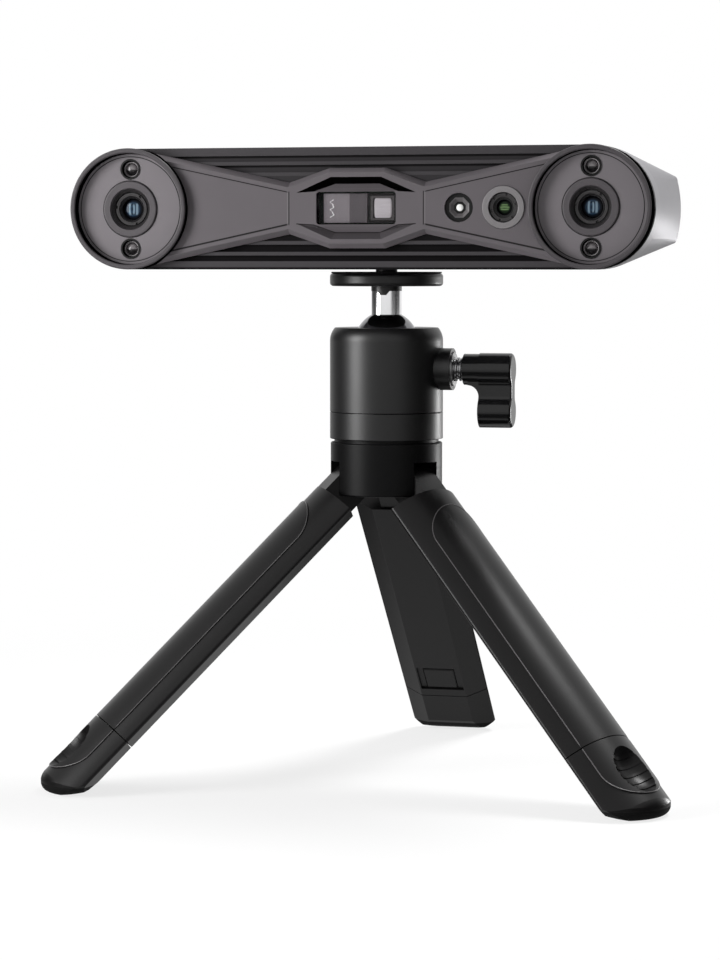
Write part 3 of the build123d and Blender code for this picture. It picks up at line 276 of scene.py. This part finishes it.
def fascia_finish():
    """Warm dark grey satin paint with painted shade on the pocket walls, in the bevel lines and in a groove
    beside each pocket, and a painted highlight beside that groove.
    """
    material, s = new_finish("fascia_paint")
    fine = s.noise(PAINT_GRAIN, detail=3.0)
    broad = s.noise(14 * MM)
    across = s.mm("X").size()
    up = s.mm("Z", scanner_z)
    wing_start, wing_slope, bevel_height = 19.3, 0.21376, 4.42
    wing = (across - wing_start) * wing_slope + bevel_height
    both_lines = (up.size() - wing).band(0, 0.10, 0.10)
    # the lower bevel line is wider: more painted shade under the lower edge
    lower_line = (up + wing).band(0, 0.18, 0.12)
    bevel = both_lines.most(lower_line) * across.step(19.0, 20.0)
    waist = up.size().step(4.8, 4.4)
    groove = across.band(19.1, 0.10, 0.12) * waist
    # painted highlight beside the waist groove
    painted_glint = across.band(19.48, 0.08, 0.15) * waist
    paint = s.blend(broad * 0.6 + fine * 0.4, (0.098, 0.0885, 0.0955), (0.120, 0.1085, 0.1170))
    paint = s.blend(painted_glint * 0.4, paint, (0.20, 0.186, 0.192))
    # bevel lines and waist groove: painted shade
    paint = s.blend(bevel.most(groove * 0.85), paint, LINE_SHADE)
    # lower pocket wall and the line at its foot: painted shade
    lower_wall, lower_foot = pocket_wall(across, 0 - up)
    paint = s.blend(lower_wall * 0.50, paint, (0.010, 0.009, 0.0095))
    paint = s.blend(lower_foot * 0.85, paint, (0.006, 0.005, 0.0055))
    # upper pocket wall: painted shade in matt black
    upper_wall = pocket_wall(across, up)[0]
    painted(s, fine, paint, roughness=0.44, specular=0.16, painted_shade=upper_wall)
    return material


def ring_finish():
    """Grey front face of a bezel ring, with painted shade in matt black on the walls behind it."""
    material, s = new_finish("ring_paint")
    fine = s.noise(PAINT_GRAIN, detail=3.0)
    # walls behind the front face: painted shade
    behind = s.mm("Y", ring_y).step(0.30, 0.50)
    paint = s.blend(fine, (0.054, 0.0490, 0.0530), (0.066, 0.0600, 0.0650))
    painted(s, fine, paint, roughness=0.36, specular=0.25, painted_shade=behind)
    return material


def frame_finish():
    """Dark frame: satin fins, with painted shade in the grooves between them, beside the fascia and
    underneath, heavier on the lower half.
    """
    material, s = new_finish("frame_paint")
    fine = s.noise(PAINT_GRAIN, detail=3.0)
    up = s.mm("Z", scanner_z)
    inner_edge, fin_corners, belly = 9.0, (14.35, 11.75), -16.25
    behind = s.mm("Y", ring_y).step(5.1, 5.4)
    inner = up.size().step(inner_edge + 0.1, inner_edge - 0.1)
    lower = up.step(1.0, -1.0)
    corner_line = up.band(fin_corners[0], 0.25, 0.15) + up.band(fin_corners[1], 0.25, 0.15)
    under = up.step(belly + 0.25, belly - 0.25)
    # painted shade: grooves and the strip beside the fascia, heavier on the lower half, a line at each fin
    # corner, and the underside
    painted_shade = behind.most(inner) * (lower * 0.50 + 0.35) + behind * corner_line * 0.40
    paint = s.blend(fine, (0.036, 0.0330, 0.0360), (0.046, 0.0422, 0.0460))
    painted(s, fine, paint, roughness=0.38, specular=0.20, painted_shade=painted_shade.most(under * 0.85))
    return material


def plate_finish():
    """Lighter satin disc with painted shade in a fine turned line near its rim and in the seam round the
    hood.
    """
    material, s = new_finish("plate_paint")
    fine = s.noise(PAINT_GRAIN, detail=3.0)
    broad = s.noise(11 * MM)
    centre = abs(middle("left_camera_plate")[0]) / MM
    radius = reach_of(s.mm("X").size() - centre, s.mm("Z", scanner_z))
    rim_line, hood_seam = radius.band(14.6, 0.09, 0.09), radius.step(8.15, 7.95)
    paint = s.blend(broad * 0.6 + fine * 0.4, (0.148, 0.1360, 0.1450), (0.176, 0.1620, 0.1725))
    # painted shade in the turned line and round the hood
    paint = s.blend(rim_line.most(hood_seam), paint, LINE_SHADE)
    painted(s, fine, paint, roughness=0.42, specular=0.16)
    return material


def ball_finish():
    """Polished metal: bright stem above, and below it a ball darkened as a painted dark reflection."""
    material, s = new_finish("polished_ball")
    fine = s.noise(0.4 * MM, detail=3.0)
    stem = s.mm("Z", corner("ball_stem", 0)[2]).step(17.2, 17.8)
    # ball darkened: painted reflection of its dark surroundings
    colour = s.blend(stem, (0.20, 0.20, 0.21), (0.78, 0.78, 0.79))
    close(s, Base_Color=colour, Roughness=fine * 0.03 + 0.07, Metallic=1.0)
    return material


def module_finish():
    """Two-tone emitter face with a painted highlight along a fine wire, with brighter dots along it."""
    material, s = new_finish("module_face")
    fine = s.noise(0.3 * MM)
    across = s.mm("X")
    up = s.mm("Z", scanner_z)
    wire_highlight_x = -7.1
    left = across.step(-2.1, -2.25)
    tone = s.blend(left, (0.102, 0.0905, 0.0995), (0.252, 0.2280, 0.2470))
    tone = s.blend(fine * 0.25, tone, (0.130, 0.118, 0.122))
    swing = (up * 2.9).maths("SINE") * 0.42 + (up * 6.1 + 0.8).maths("SINE") * 0.16
    # painted highlight along a fine wire
    wire_highlight = (across - wire_highlight_x - swing).band(0, 0.08, 0.14) * up.band(-0.1, 2.3, 0.3)
    dots = (up * 2.6 + 0.5).maths("SINE").step(-0.85, -0.35)
    tone = s.blend(wire_highlight * (dots * 0.4 + 0.6), tone, (0.95, 0.95, 0.95))
    close(s, Base_Color=tone, Roughness=fine * 0.1 + 0.3, Specular_IOR_Level=0.3)
    return material


def projector_finish():
    """Grey projector face inside a black edge line."""
    material, s = new_finish("projector_face")
    fine = s.noise(0.3 * MM)
    across = s.mm("X", middle("pattern_projector")[0])
    up = s.mm("Z", scanner_z)
    rim = across.size().most(up.size()).step(3.25, 3.40)
    tone = s.blend(fine * 0.4, (0.078, 0.072, 0.074), (0.092, 0.085, 0.087))
    close(s, Base_Color=s.blend(rim, tone, (0.006, 0.006, 0.006)), Roughness=fine * 0.1 + 0.35,
          Specular_IOR_Level=0.2)
    return material


def streaked_glass(name, deep, ring, glow, reflection_streaks, upright):
    """Coated lens: dark rim, coloured depth in rings, and painted reflections as soft streaks (place, half
    width, half length).
    """
    material, s = new_finish(name)
    across, up = s.spread()
    rim = (0.004, 0.004, 0.005)
    stops = [(0.0, deep), (0.30, ring), (0.46, deep), (0.60, ring), (0.70, deep), (0.88, rim)]
    colour = s.node("ValToRGB", {"stops": stops}, {"Fac": reach_of(across, up)})
    side, along = (across, up) if upright else (up, across)
    curve, soft_side, soft_end, strength = 0.16, 0.09, 0.22, 0.85
    # each streak is a painted reflection in the glow colour
    for place, half, length in reflection_streaks:
        bend = along * along * (curve if place > 0 else -curve)
        mask = (side + bend).band(place, half, soft_side) * along.band(0, length, soft_end)
        colour = s.blend(mask * strength, colour, glow)
    close(s, Base_Color=colour, Roughness=s.noise(1.2 * MM) * 0.04 + 0.06, Specular_IOR_Level=0.08)
    return material


def dome_finish():
    """Clear light: pale upper half, a painted reflection, over a dark seat, with a bright rim."""
    material, s = new_finish("infrared_dome")
    across, up = s.spread()
    radius = reach_of(across, up)
    grain = s.noise(0.5 * MM, detail=3.0)
    # upper half: painted reflection
    half = up.step(-0.10, 0.02) * radius.step(0.74, 0.68)
    tone = s.blend(half, (0.012, 0.011, 0.012), (0.180, 0.167, 0.173))
    tone = s.blend(grain.step(0.52, 0.62) * 0.35, tone, (0.060, 0.054, 0.057))
    tone = s.blend(radius.band(0.88, 0.05, 0.05), tone, (0.270, 0.252, 0.260))
    close(s, Base_Color=tone, Roughness=grain * 0.08 + 0.10, Specular_IOR_Level=0.35)
    return material


def aperture_finish():
    """Pale projector aperture with faint level streaks, a soft darker edge and a faint painted glow."""
    material, s = new_finish("bright_aperture")
    across, up = s.spread()
    streak = s.noise(1.0 * MM, where=s.place(stretch=(0.12, 1, 2.6)))
    tone = s.blend(streak, (0.46, 0.425, 0.455), (0.64, 0.60, 0.635))
    edge = across.size().most(up.size()).step(0.82, 1.0)
    tone = s.blend(edge * 0.5, tone, (0.36, 0.33, 0.35))
    # faint emission: a painted glow, as the aperture is no lamp
    close(s, Base_Color=tone, Roughness=streak * 0.1 + 0.25, Emission_Color=tone, Emission_Strength=0.12)
    return material


def pane_finish():
    """Clear pane: mostly see-through, faintly smoky."""
    material, s = new_finish("pane_glass")
    smoke = s.noise(6 * MM)
    close(s, Base_Color=s.blend(smoke, (0.010, 0.009, 0.010), (0.020, 0.018, 0.019)), Roughness=0.05,
          Alpha=smoke * 0.05 + 0.10, Specular_IOR_Level=0.3)
    return material


fascia_paint = fascia_finish()
plate_paint = plate_finish()
ring_paint = ring_finish()
frame_paint = frame_finish()
hood_paint = satin("hood_paint", (0.070, 0.0638, 0.0685), (0.086, 0.0784, 0.0842), 0.40, specular=0.20)
barrel_paint = satin("barrel_paint", (0.005, 0.005, 0.0053), (0.009, 0.009, 0.0095), 0.36, specular=0.25)
trim_paint = satin("trim_paint", (0.022, 0.020, 0.021), (0.032, 0.030, 0.031), 0.33)
sleeve_paint = satin("sleeve_paint", (0.003, 0.003, 0.003), (0.006, 0.006, 0.006), 0.35, specular=0.2)
shell_silver = satin("shell_silver", (0.186, 0.1810, 0.1945), (0.218, 0.2120, 0.2275), 0.40, metallic=0.40)
head_black = satin("head_black", (0.0036, 0.0035, 0.0037), (0.0056, 0.0054, 0.0057), 0.38,
                   depth=CAST_DEPTH, specular=0.40)
# a darker copy of head_black, as painted shade on the hub under the housing
hub_shaded_black = satin("hub_shaded_black", (0.0022, 0.0022, 0.0023), (0.0036, 0.0035, 0.0037), 0.40,
                  depth=CAST_DEPTH, specular=0.10)
leg_black = satin("leg_black", (0.0026, 0.0024, 0.0025), (0.0042, 0.0038, 0.0040), 0.35,
                  depth=LEG_DEPTH, specular=0.20)
# light grey beads stand in for the highlight along each leg panel's edge
highlight_grey = satin("highlight_grey", (0.070, 0.066, 0.068), (0.095, 0.090, 0.092), 0.35, specular=0.4)
knob_black = satin("knob_black", (0.0025, 0.0025, 0.0027), (0.0040, 0.0040, 0.0042), 0.15,
                   depth=KNOB_DEPTH, specular=0.38)
sole_rubber = satin("sole_rubber", (0.0030, 0.0030, 0.0030), (0.0055, 0.0055, 0.0055), 0.75,
                    depth=RUBBER_DEPTH, specular=0.1)
pad_rubber = satin("pad_rubber", (0.004, 0.004, 0.004), (0.007, 0.007, 0.007), 0.7,
                   depth=RUBBER_DEPTH, specular=0.1)
ring_silver = satin("ring_silver", (0.170, 0.161, 0.165), (0.205, 0.195, 0.200), 0.36, metallic=0.3)
bush_metal = satin("bush_metal", (0.20, 0.20, 0.202), (0.28, 0.28, 0.282), 0.30, metallic=0.8)
thread_steel = satin("thread_steel", (0.24, 0.24, 0.245), (0.34, 0.34, 0.345), 0.26, metallic=1.0)
dark_steel = satin("dark_steel", (0.012, 0.012, 0.012), (0.020, 0.020, 0.020), 0.35, metallic=0.5)
steel = satin("plated_steel", (0.36, 0.36, 0.37), (0.48, 0.48, 0.49), 0.28, metallic=1.0)
brass = satin("turned_brass", (0.50, 0.34, 0.13), (0.60, 0.43, 0.18), 0.3, metallic=1.0)
board_green = satin("board_green", (0.004, 0.018, 0.009), (0.006, 0.026, 0.012), 0.4, specular=0.2)
module_black = satin("module_black", (0.010, 0.010, 0.010), (0.016, 0.016, 0.016), 0.4, specular=0.2)
light_pipe = satin("light_pipe", (0.50, 0.53, 0.51), (0.62, 0.64, 0.62), 0.25)
reflector = satin("reflector", (0.075, 0.070, 0.072), (0.120, 0.113, 0.116), 0.40)
phosphor = satin("white_phosphor", (0.86, 0.86, 0.84), (0.95, 0.95, 0.93), 0.35)
polished_ball = ball_finish()
module_face = module_finish()
projector_face = projector_finish()
bright_aperture = aperture_finish()
infrared_dome = dome_finish()
window_glass = pane_finish()
blue_glass = streaked_glass(
    "blue_glass", deep=(0.006, 0.010, 0.019), ring=(0.024, 0.047, 0.080), glow=(0.20, 0.28, 0.35),
    reflection_streaks=[(-0.34, 0.05, 0.42), (0.10, 0.03, 0.34), (0.40, 0.06, 0.40)], upright=True)
green_glass = streaked_glass(
    "green_glass", deep=(0.006, 0.010, 0.006), ring=(0.020, 0.038, 0.018), glow=(0.17, 0.28, 0.12),
    reflection_streaks=[(-0.26, 0.05, 0.42), (0.06, 0.05, 0.50), (0.34, 0.03, 0.30)], upright=False)

NODE_FINISHES = {
    "front_frame": frame_paint, "front_fascia": fascia_paint, "rear_shell": shell_silver,
    "infrared_sleeves": sleeve_paint, "infrared_leds": infrared_dome, "white_light_holder": sleeve_paint,
    "white_light": phosphor, "colour_camera_ring": ring_silver, "colour_lens_barrel": barrel_paint,
    "colour_lens_glass": green_glass, "projector_window": window_glass, "pattern_projector": projector_face,
    "projector_lens": bright_aperture, "laser_module": module_face, "tripod_insert": brass,
    "case_screws": steel, "camera_lenses": blue_glass, "camera_boards": board_green,
    "main_board": board_green, "board_screws": steel, "optics_board": board_green,
    "scan_button": knob_black, "button_switch": module_black, "status_light": light_pipe,
    "usb_board": board_green, "usb_socket": steel, "ball_stem": polished_ball, "top_plate": head_black,
    "plate_pad": pad_rubber, "mounting_screw": dark_steel, "ball_cup": module_black,
    "ball_housing": head_black, "housing_base": head_black, "hub_stud": steel, "knob_bush": bush_metal,
    "clamp_screw": thread_steel, "clamp_pad": brass, "clamp_knob": knob_black, "leg_hub": hub_shaded_black,
    "leg_pins": steel,
}
for side in EYES:
    NODE_FINISHES[side + "_bezel_ring"] = ring_paint
    NODE_FINISHES[side + "_camera_plate"] = plate_paint
    NODE_FINISHES[side + "_lens_hood"] = hood_paint
    NODE_FINISHES[side + "_lens_barrel"] = barrel_paint
for side in LEGS:
    NODE_FINISHES[side + "_leg"] = leg_black
    NODE_FINISHES[side + "_foot"] = leg_black
    NODE_FINISHES[side + "_catch"] = leg_black
    NODE_FINISHES[side + "_sole"] = sole_rubber
for name, node in nodes.items():
    node.data.materials.clear()
    node.data.materials.append(NODE_FINISHES[name])


# Surfaces
def grid_faces(rows, columns, ring_rows, ring_columns):
    """Corner numbers of each cell of a grid; a ring joins its last row or column to the first."""
    row = np.arange(rows if ring_rows else rows - 1)[:, None]
    column = np.arange(columns if ring_columns else columns - 1)[None, :]
    below, beside = (row + 1) % rows, (column + 1) % columns
    corners = (row * columns + column, below * columns + column,
               below * columns + beside, row * columns + beside)
    return np.stack(corners, axis=-1).reshape(-1, 4)


def build(name, grids, finish, body, swaps=(), sharp=35):
    """One piece from grids (points, ring_rows, ring_columns, spread) in metres.

    Every cell is a quad; doubles are merged, which closes poles, and the faces then turn outwards.
    """
    points, faces, spreads, start = [], [], [], 0
    for grid, ring_rows, ring_columns, spread in grids:
        points.append(grid.reshape(-1, 3))
        faces.append(grid_faces(*grid.shape[:2], ring_rows, ring_columns) + start)
        spreads.append(spread.reshape(-1, 2))
        start += len(points[-1])
    faces = np.concatenate(faces)
    mesh = bpy.data.meshes.new(name)
    mesh.from_pydata(np.concatenate(points).tolist(), [], faces.tolist())
    layer = mesh.uv_layers.new(name="spread")
    layer.data.foreach_set("uv", np.concatenate(spreads)[faces.ravel()].ravel())
    merged = bmesh.new()
    merged.from_mesh(mesh)
    bmesh.ops.remove_doubles(merged, verts=merged.verts, dist=1e-7)
    bmesh.ops.recalc_face_normals(merged, faces=merged.faces)
    merged.to_mesh(mesh)
    merged.free()
    mesh.shade_smooth()
    mesh.set_sharp_from_angle(angle=math.radians(sharp))
    mesh.materials.append(finish)
    piece = bpy.data.objects.new(name, mesh)
    bpy.context.scene.collection.objects.link(piece)
    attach(piece, body)
    if swaps:
        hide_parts(*swaps)


def turned(centre, profile, count=120, ring=True, sides=None, dents=None):
    """Profile of (radius, depth) in mm carried round the line of sight through a centre.

    x = cx + r cos a, y = cy + depth, z = cz + r sin a. With sides the circle becomes a polygon of that
    apothem: r / cos of the angle from the middle of the nearest side. dents(radius, angle) adds depth.
    """
    angle = np.linspace(0, TURN, count, endpoint=False)[None, :]
    radius, depth = (np.array(column)[:, None] * MM for column in zip(*profile))
    depth = depth + (dents(radius / MM, angle) * MM if dents else 0 * angle)
    if sides:
        step = TURN / sides
        radius = radius / np.cos((angle + step / 2) % step - step / 2)
    radius = radius + 0 * angle
    flat = np.stack([radius * np.cos(angle), radius * np.sin(angle)], axis=-1)
    points = np.stack([centre[0] + flat[..., 0], centre[1] + depth, centre[2] + flat[..., 1]], axis=-1)
    return points, ring, True, flat / (2 * radius.max()) + 0.5


def dome(radius, crown, thickness):
    """Profile of a lens: depth = crown (r / R)^2 from its apex, then straight back and closed behind."""
    share = np.linspace(0, 1, 14)
    front = list(zip(radius * share, crown * share ** 2))
    return front + [(radius, crown + thickness), (0, crown + thickness)]


def notches(count, width, inner, depth, turn):
    """Dents for a ring: depth where the angle is near one of count places and r is beyond inner."""
    def dents(radius, angle):
        step = TURN / count
        away = np.abs((angle - turn + step / 2) % step - step / 2)
        return depth * ((away < width) & (radius > inner))
    return dents


# Lenses and lights
EYE_CONE = [(5.82, -0.02), (5.82, -1.50), (5.72, -1.62), (5.30, -1.10), (5.24, -1.16), (5.00, -0.86),
            (4.94, -0.92), (4.74, -0.60), (4.70, -0.02)]
EYE_RETAINER = [(4.56, -0.02), (4.56, -0.70), (4.48, -0.78), (4.05, -0.78), (3.98, -0.72), (3.74, -0.72),
                (3.62, -0.60), (3.52, -0.02)]
EYE_LIP = [(3.46, 0.05), (3.46, -0.28), (3.38, -0.34), (3.10, 0.30), (3.02, 0.62), (3.02, 0.70),
           (3.46, 0.70)]
EYE_GLASS_SET_BACK = 0.55 * MM
LED_RADIUS = 2.2
LED_PROFILE = [(0.0, 0.10), (0.5, 0.14), (1.0, 0.28), (1.4, 0.52), (1.68, 0.86), (1.72, 1.05), (1.80, 1.05),
               (1.84, 0.34), (1.92, 0.22), (2.10, 0.22), (LED_RADIUS, 0.34), (LED_RADIUS, 4.6), (0.0, 4.6)]
LIGHT_WELL = [(2.86, 0.06), (2.74, 0.0), (2.40, 0.10), (2.30, 0.30), (1.62, 0.86), (2.60, 0.88)]
COLOUR_RING = [(3.92, -0.02), (3.92, -0.42), (3.82, -0.52), (3.30, -0.52), (3.24, -0.44), (2.98, -0.44),
               (2.86, -0.34), (2.70, -0.02)]


def at_front(node):
    """Middle of a node's box, on its front plane."""
    spot = middle(node)
    spot[1] = corner(node, 0)[1]
    return spot


eye_notches = notches(count=3, width=0.07, inner=4.0, depth=0.5, turn=0.9)
eye_lens = dome(radius=2.98, crown=0.62, thickness=0.5)
eye_rings = []
eye_glass = []
for side in EYES:
    eye = at_front(side + "_lens_barrel")
    retainer = turned(eye, EYE_RETAINER, 144, dents=eye_notches)
    eye_rings += [turned(eye, EYE_CONE), retainer, turned(eye, EYE_LIP)]
    eye_glass.append(turned(eye + (0, EYE_GLASS_SET_BACK, 0), eye_lens, 96, ring=False))
build("eye_trim", eye_rings, trim_paint, "scanner")
build("eye_glass", eye_glass, blue_glass, "scanner", ["camera_lenses"])

led_low, led_high = corner("infrared_leds", 0), corner("infrared_leds", 1)
led_grids = []
for x in (led_low[0] + LED_RADIUS * MM, led_high[0] - LED_RADIUS * MM):
    for z in (led_low[2] + LED_RADIUS * MM, led_high[2] - LED_RADIUS * MM):
        led_grids.append(turned((x, led_low[1], z), LED_PROFILE, 72, ring=False))
build("infrared_domes", led_grids, infrared_dome, "scanner", ["infrared_leds"])

light_well = turned(at_front("white_light_holder"), LIGHT_WELL, 96, sides=8)
build("light_reflector", [light_well], reflector, "scanner", sharp=20)
light_lens = dome(radius=0.95, crown=0.26, thickness=0.14)
light_dome = turned(at_front("white_light"), light_lens, 64, ring=False)
build("light_dome", [light_dome], phosphor, "scanner", ["white_light"])

colour_notches = notches(count=6, width=0.09, inner=3.25, depth=0.3, turn=0.26)
colour_trim = turned(at_front("colour_lens_barrel"), COLOUR_RING, dents=colour_notches)
build("colour_trim", [colour_trim], trim_paint, "scanner")
colour_lens = dome(radius=2.1, crown=0.45, thickness=0.5)
colour_glass = turned(at_front("colour_lens_glass"), colour_lens, 72, ring=False)
build("colour_glass", [colour_glass], green_glass, "scanner", ["colour_lens_glass"])


def aperture_pillow():
    """Rounded square, a superellipse |x/a|^n + |z/b|^n = 1 shrunk towards its middle, with a low crown."""
    power, width_share, height_share = 5, 0.94, 1.06
    low, high = corner("projector_lens", 0), corner("projector_lens", 1)
    centre = (low + high) / 2
    half = (high - low) / 2
    angle = np.linspace(0, TURN, 96, endpoint=False)
    reach = (np.abs(np.cos(angle)) ** power + np.abs(np.sin(angle)) ** power) ** (-1 / power)
    share = np.array([0, 0.25, 0.5, 0.75, 0.92, 1.0, 1.0, 0])[:, None]
    depth = np.array([0, 0, 0, 0.01, 0.04, 0.12, 0.28, 0.28])[:, None] * MM + 0 * angle
    x = share * reach * np.cos(angle)
    z = share * reach * np.sin(angle)
    points = np.stack([centre[0] + x * half[0] * width_share, low[1] + depth,
                       centre[2] + z * half[2] * height_share], axis=-1)
    return points, False, True, np.stack([x, z], axis=-1) / 2 + 0.5


build("aperture", [aperture_pillow()], bright_aperture, "scanner", ["projector_lens"])


# Clamp screw, and light beads as painted highlights on the leg panels' edges
def screw_thread():
    """Right hand thread: r = crest - depth (1 - ridge).

    The ridge is a wave of x / pitch - angle / turn, clipped to 0 and 1.
    """
    pitch, depth, steepness = 1.25 * MM, 0.55 * MM, 0.9
    low, high = corner("clamp_screw", 0), corner("clamp_screw", 1)
    centre = (low + high) / 2
    crest = (high[2] - low[2]) / 2
    along = np.linspace(low[0], high[0], 260)[:, None]
    angle = np.linspace(0, TURN, 48, endpoint=False)[None, :]
    wave = np.cos(TURN * (along / pitch) - angle)
    radius = crest - depth * (1 - np.clip(0.5 + steepness * wave, 0, 1))
    radius[[0, -1]] = 0
    points = np.stack([along + 0 * angle, centre[1] + radius * np.sin(angle),
                       centre[2] + radius * np.cos(angle)], axis=-1)
    spread = np.stack(np.broadcast_arrays(angle / TURN, along / (high[0] - low[0])), axis=-1)
    return points, False, True, spread


build("screw_thread", [screw_thread()], thread_steel, "clamp_knob", ["clamp_screw"])


def edge_highlight_bead(side, line):
    """Fine light bead, a painted highlight on a leg panel's edge, along a line of (distance below the pin,
    distance across), in mm.

    On the leg's arc of radius R the surface is pin + out (sqrt(R^2 - across^2) - pin radius) + across side
    + below down; the bead is a small circle carried along it in the plane of its normal and its side.
    """
    pin = np.array(joints[side + "_leg_fold"]["pos_m"])
    over = np.array(joints[side + "_leg_fold"]["axis"])
    down = np.array(joints[side + "_foot_slide"]["axis"])
    out = np.array(joints[side + "_catch_push"]["axis"])
    below, across = (column[:, None] * MM for column in line.T)
    arc, pin_radius, thick = 16.0 * MM, 10.0 * MM, 0.14 * MM
    rise = np.sqrt(arc ** 2 - across ** 2)
    path = pin + out * (rise - pin_radius) + over * across + down * below
    normal = (out * rise + over * across) / arc
    ahead = np.gradient(path, axis=0)
    ahead /= np.linalg.norm(ahead, axis=1, keepdims=True)
    beside = np.cross(ahead, normal)
    angle = np.linspace(0, TURN, 10, endpoint=False)[None, :, None]
    ring = normal[:, None] * np.cos(angle) + beside[:, None] * np.sin(angle)
    size = np.full(len(path), thick)[:, None, None]
    size[[0, -1]] = 0
    points = path[:, None] + ring * size
    return points, False, True, np.zeros(points.shape[:2] + (2,))


def slot_end(start, end, half):
    """Half of a slot outline: straight from start to the round at end, round it, and straight back."""
    turn = np.linspace(-math.pi / 2, math.pi / 2, 120)
    toward = math.copysign(1, end - start)
    straight = np.linspace(start, end - toward * half, 60)[:-1]
    edge = np.full(len(straight), half)
    below = np.concatenate([straight, end - toward * half * (1 - np.cos(turn)), straight[::-1]])
    across = np.concatenate([-edge, half * np.sin(turn), edge])
    return np.stack([below, across], axis=-1)


PANEL_HALF = 10.02
leg_line = slot_end(98.9, 14.5, PANEL_HALF)
foot_line = slot_end(99.3, 118.45, PANEL_HALF)
for side in LEGS:
    build(side + "_leg_edge_highlight", [edge_highlight_bead(side, leg_line)], highlight_grey, side + "_leg")
    build(side + "_foot_edge_highlight", [edge_highlight_bead(side, foot_line)], highlight_grey, side + "_foot")


# Floor, background and light
def grey(level):
    """Neutral colour of one level."""
    return (level, level, level)


def rays(shader):
    """1 for a ray that is seen straight, one that is mirrored and one through glass."""
    kinds = ("Camera", "Glossy", "Transmission")
    return [shader.node("LightPath", None, None, "Is %s Ray" % kind) for kind in kinds]


def pale_floor():
    """Wide pale floor that keeps the object's shadow: white where seen, softer where mirrored."""
    half, drop = 6.0, 0.2 * MM
    bright, dim, shadow_share = 0.75, 0.06, 0.22
    material, s = new_finish("pale_floor")
    speck = s.noise(40 * MM)
    seen, mirrored, through = rays(s)
    bare = s.blend(speck, grey(0.74), grey(0.78))
    shown = s.blend(speck, grey(0.88), grey(0.91))
    shade = s.node("BsdfDiffuse", None, {"Color": s.blend(seen, bare, shown)})
    away = s.axis("Y") - axis_y
    reach = reach_of(s.axis("X"), away)
    # pool: a painted pool of light in the floor as reflections see it, bright near the object and dim
    # further out
    pool = s.blend(reach.step(0.075, 0.13), grey(bright), grey(dim))
    pool = s.blend(away.size().step(0.30, 0.55), pool, grey(bright))
    glow = s.node("Emission", None, {"Color": s.blend(mirrored, grey(1), pool), "Strength": 1.0})
    white = reach.step(0.14, 0.42) * shadow_share + (1 - shadow_share)
    share = seen.most(through) * white + mirrored
    mixed = s.node("MixShader", None, {0: share, 1: shade, 2: glow})
    s.node("OutputMaterial", None, {"Surface": mixed})
    corners = [(-half, -half, -drop), (half, -half, -drop), (half, half, -drop), (-half, half, -drop)]
    mesh = bpy.data.meshes.new("floor")
    mesh.from_pydata(corners, [], [(0, 1, 2, 3)])
    mesh.materials.append(material)
    floor = bpy.data.objects.new("floor", mesh)
    bpy.context.scene.collection.objects.link(floor)


def backdrop():
    """White studio: dark low sides edge the polished pieces, and a soft grey lights the object."""
    level, side_fall = 0.23, 0.95
    world = bpy.data.worlds.new("studio")
    bpy.context.scene.world = world
    world.use_nodes = True
    s = Shader(world.node_tree)
    seen, mirrored, through = rays(s)
    way = s.node("TexCoord", None, None, "Generated")
    side = s.node("SeparateXYZ", None, {"Vector": way}, "X").size().step(0.64, 0.88)
    low = s.node("SeparateXYZ", None, {"Vector": way}, "Z").step(0.65, 0.35)
    mirror_level = (1 - level) - side * low * side_fall
    strength = seen.most(through) * (1 - level) + mirrored * mirror_level + level
    studio = s.node("Background", None, {"Color": (1, 1, 1, 1), "Strength": strength})
    s.node("OutputWorld", None, {"Surface": studio})


def softbox(name, place, target, size, power):
    """Rectangular area lamp that faces a point."""
    lamp = bpy.data.lights.new(name, "AREA")
    lamp.shape = "RECTANGLE"
    lamp.size, lamp.size_y = size
    lamp.energy = power
    box = bpy.data.objects.new(name, lamp)
    bpy.context.scene.collection.objects.link(box)
    aim = np.array(target) - np.array(place)
    flat = math.hypot(aim[0], aim[1])
    box.location = place
    box.rotation_euler = (math.atan2(flat, -aim[2]), 0, math.atan2(aim[1], aim[0]) - math.pi / 2)


pale_floor()
backdrop()
softbox("key", place=(-0.47, -0.40, 0.23), target=(-0.03, 0, 0.16), size=(0.24, 0.34), power=4.1)
softbox("top", place=(0.30, 0.22, 0.90), target=(0.04, 0, 0.08), size=(0.36, 0.26), power=8.0)
softbox("rim", place=(0.33, 0.42, 0.04), target=(0.08, 0, 0.16), size=(0.10, 0.14), power=0.9)


# Camera and view transform
def photo_camera():
    """Camera at the photograph's height and angle, square to no side of the object."""
    look_down, turn = 4.0776, 14.3
    data = bpy.data.cameras.new("photo_view")
    data.sensor_fit = "VERTICAL"
    data.sensor_height = 36.0
    data.lens = 113.625
    data.clip_end = 50
    camera = bpy.data.objects.new("photo_view", data)
    camera.location = (0.20785, axis_y - 0.8463, 0.1481)
    camera.rotation_euler = (math.radians(90 - look_down), 0, math.radians(turn))
    bpy.context.scene.collection.objects.link(camera)
    bpy.context.scene.camera = camera


photo_camera()
bpy.context.scene.view_settings.view_transform = "Standard"
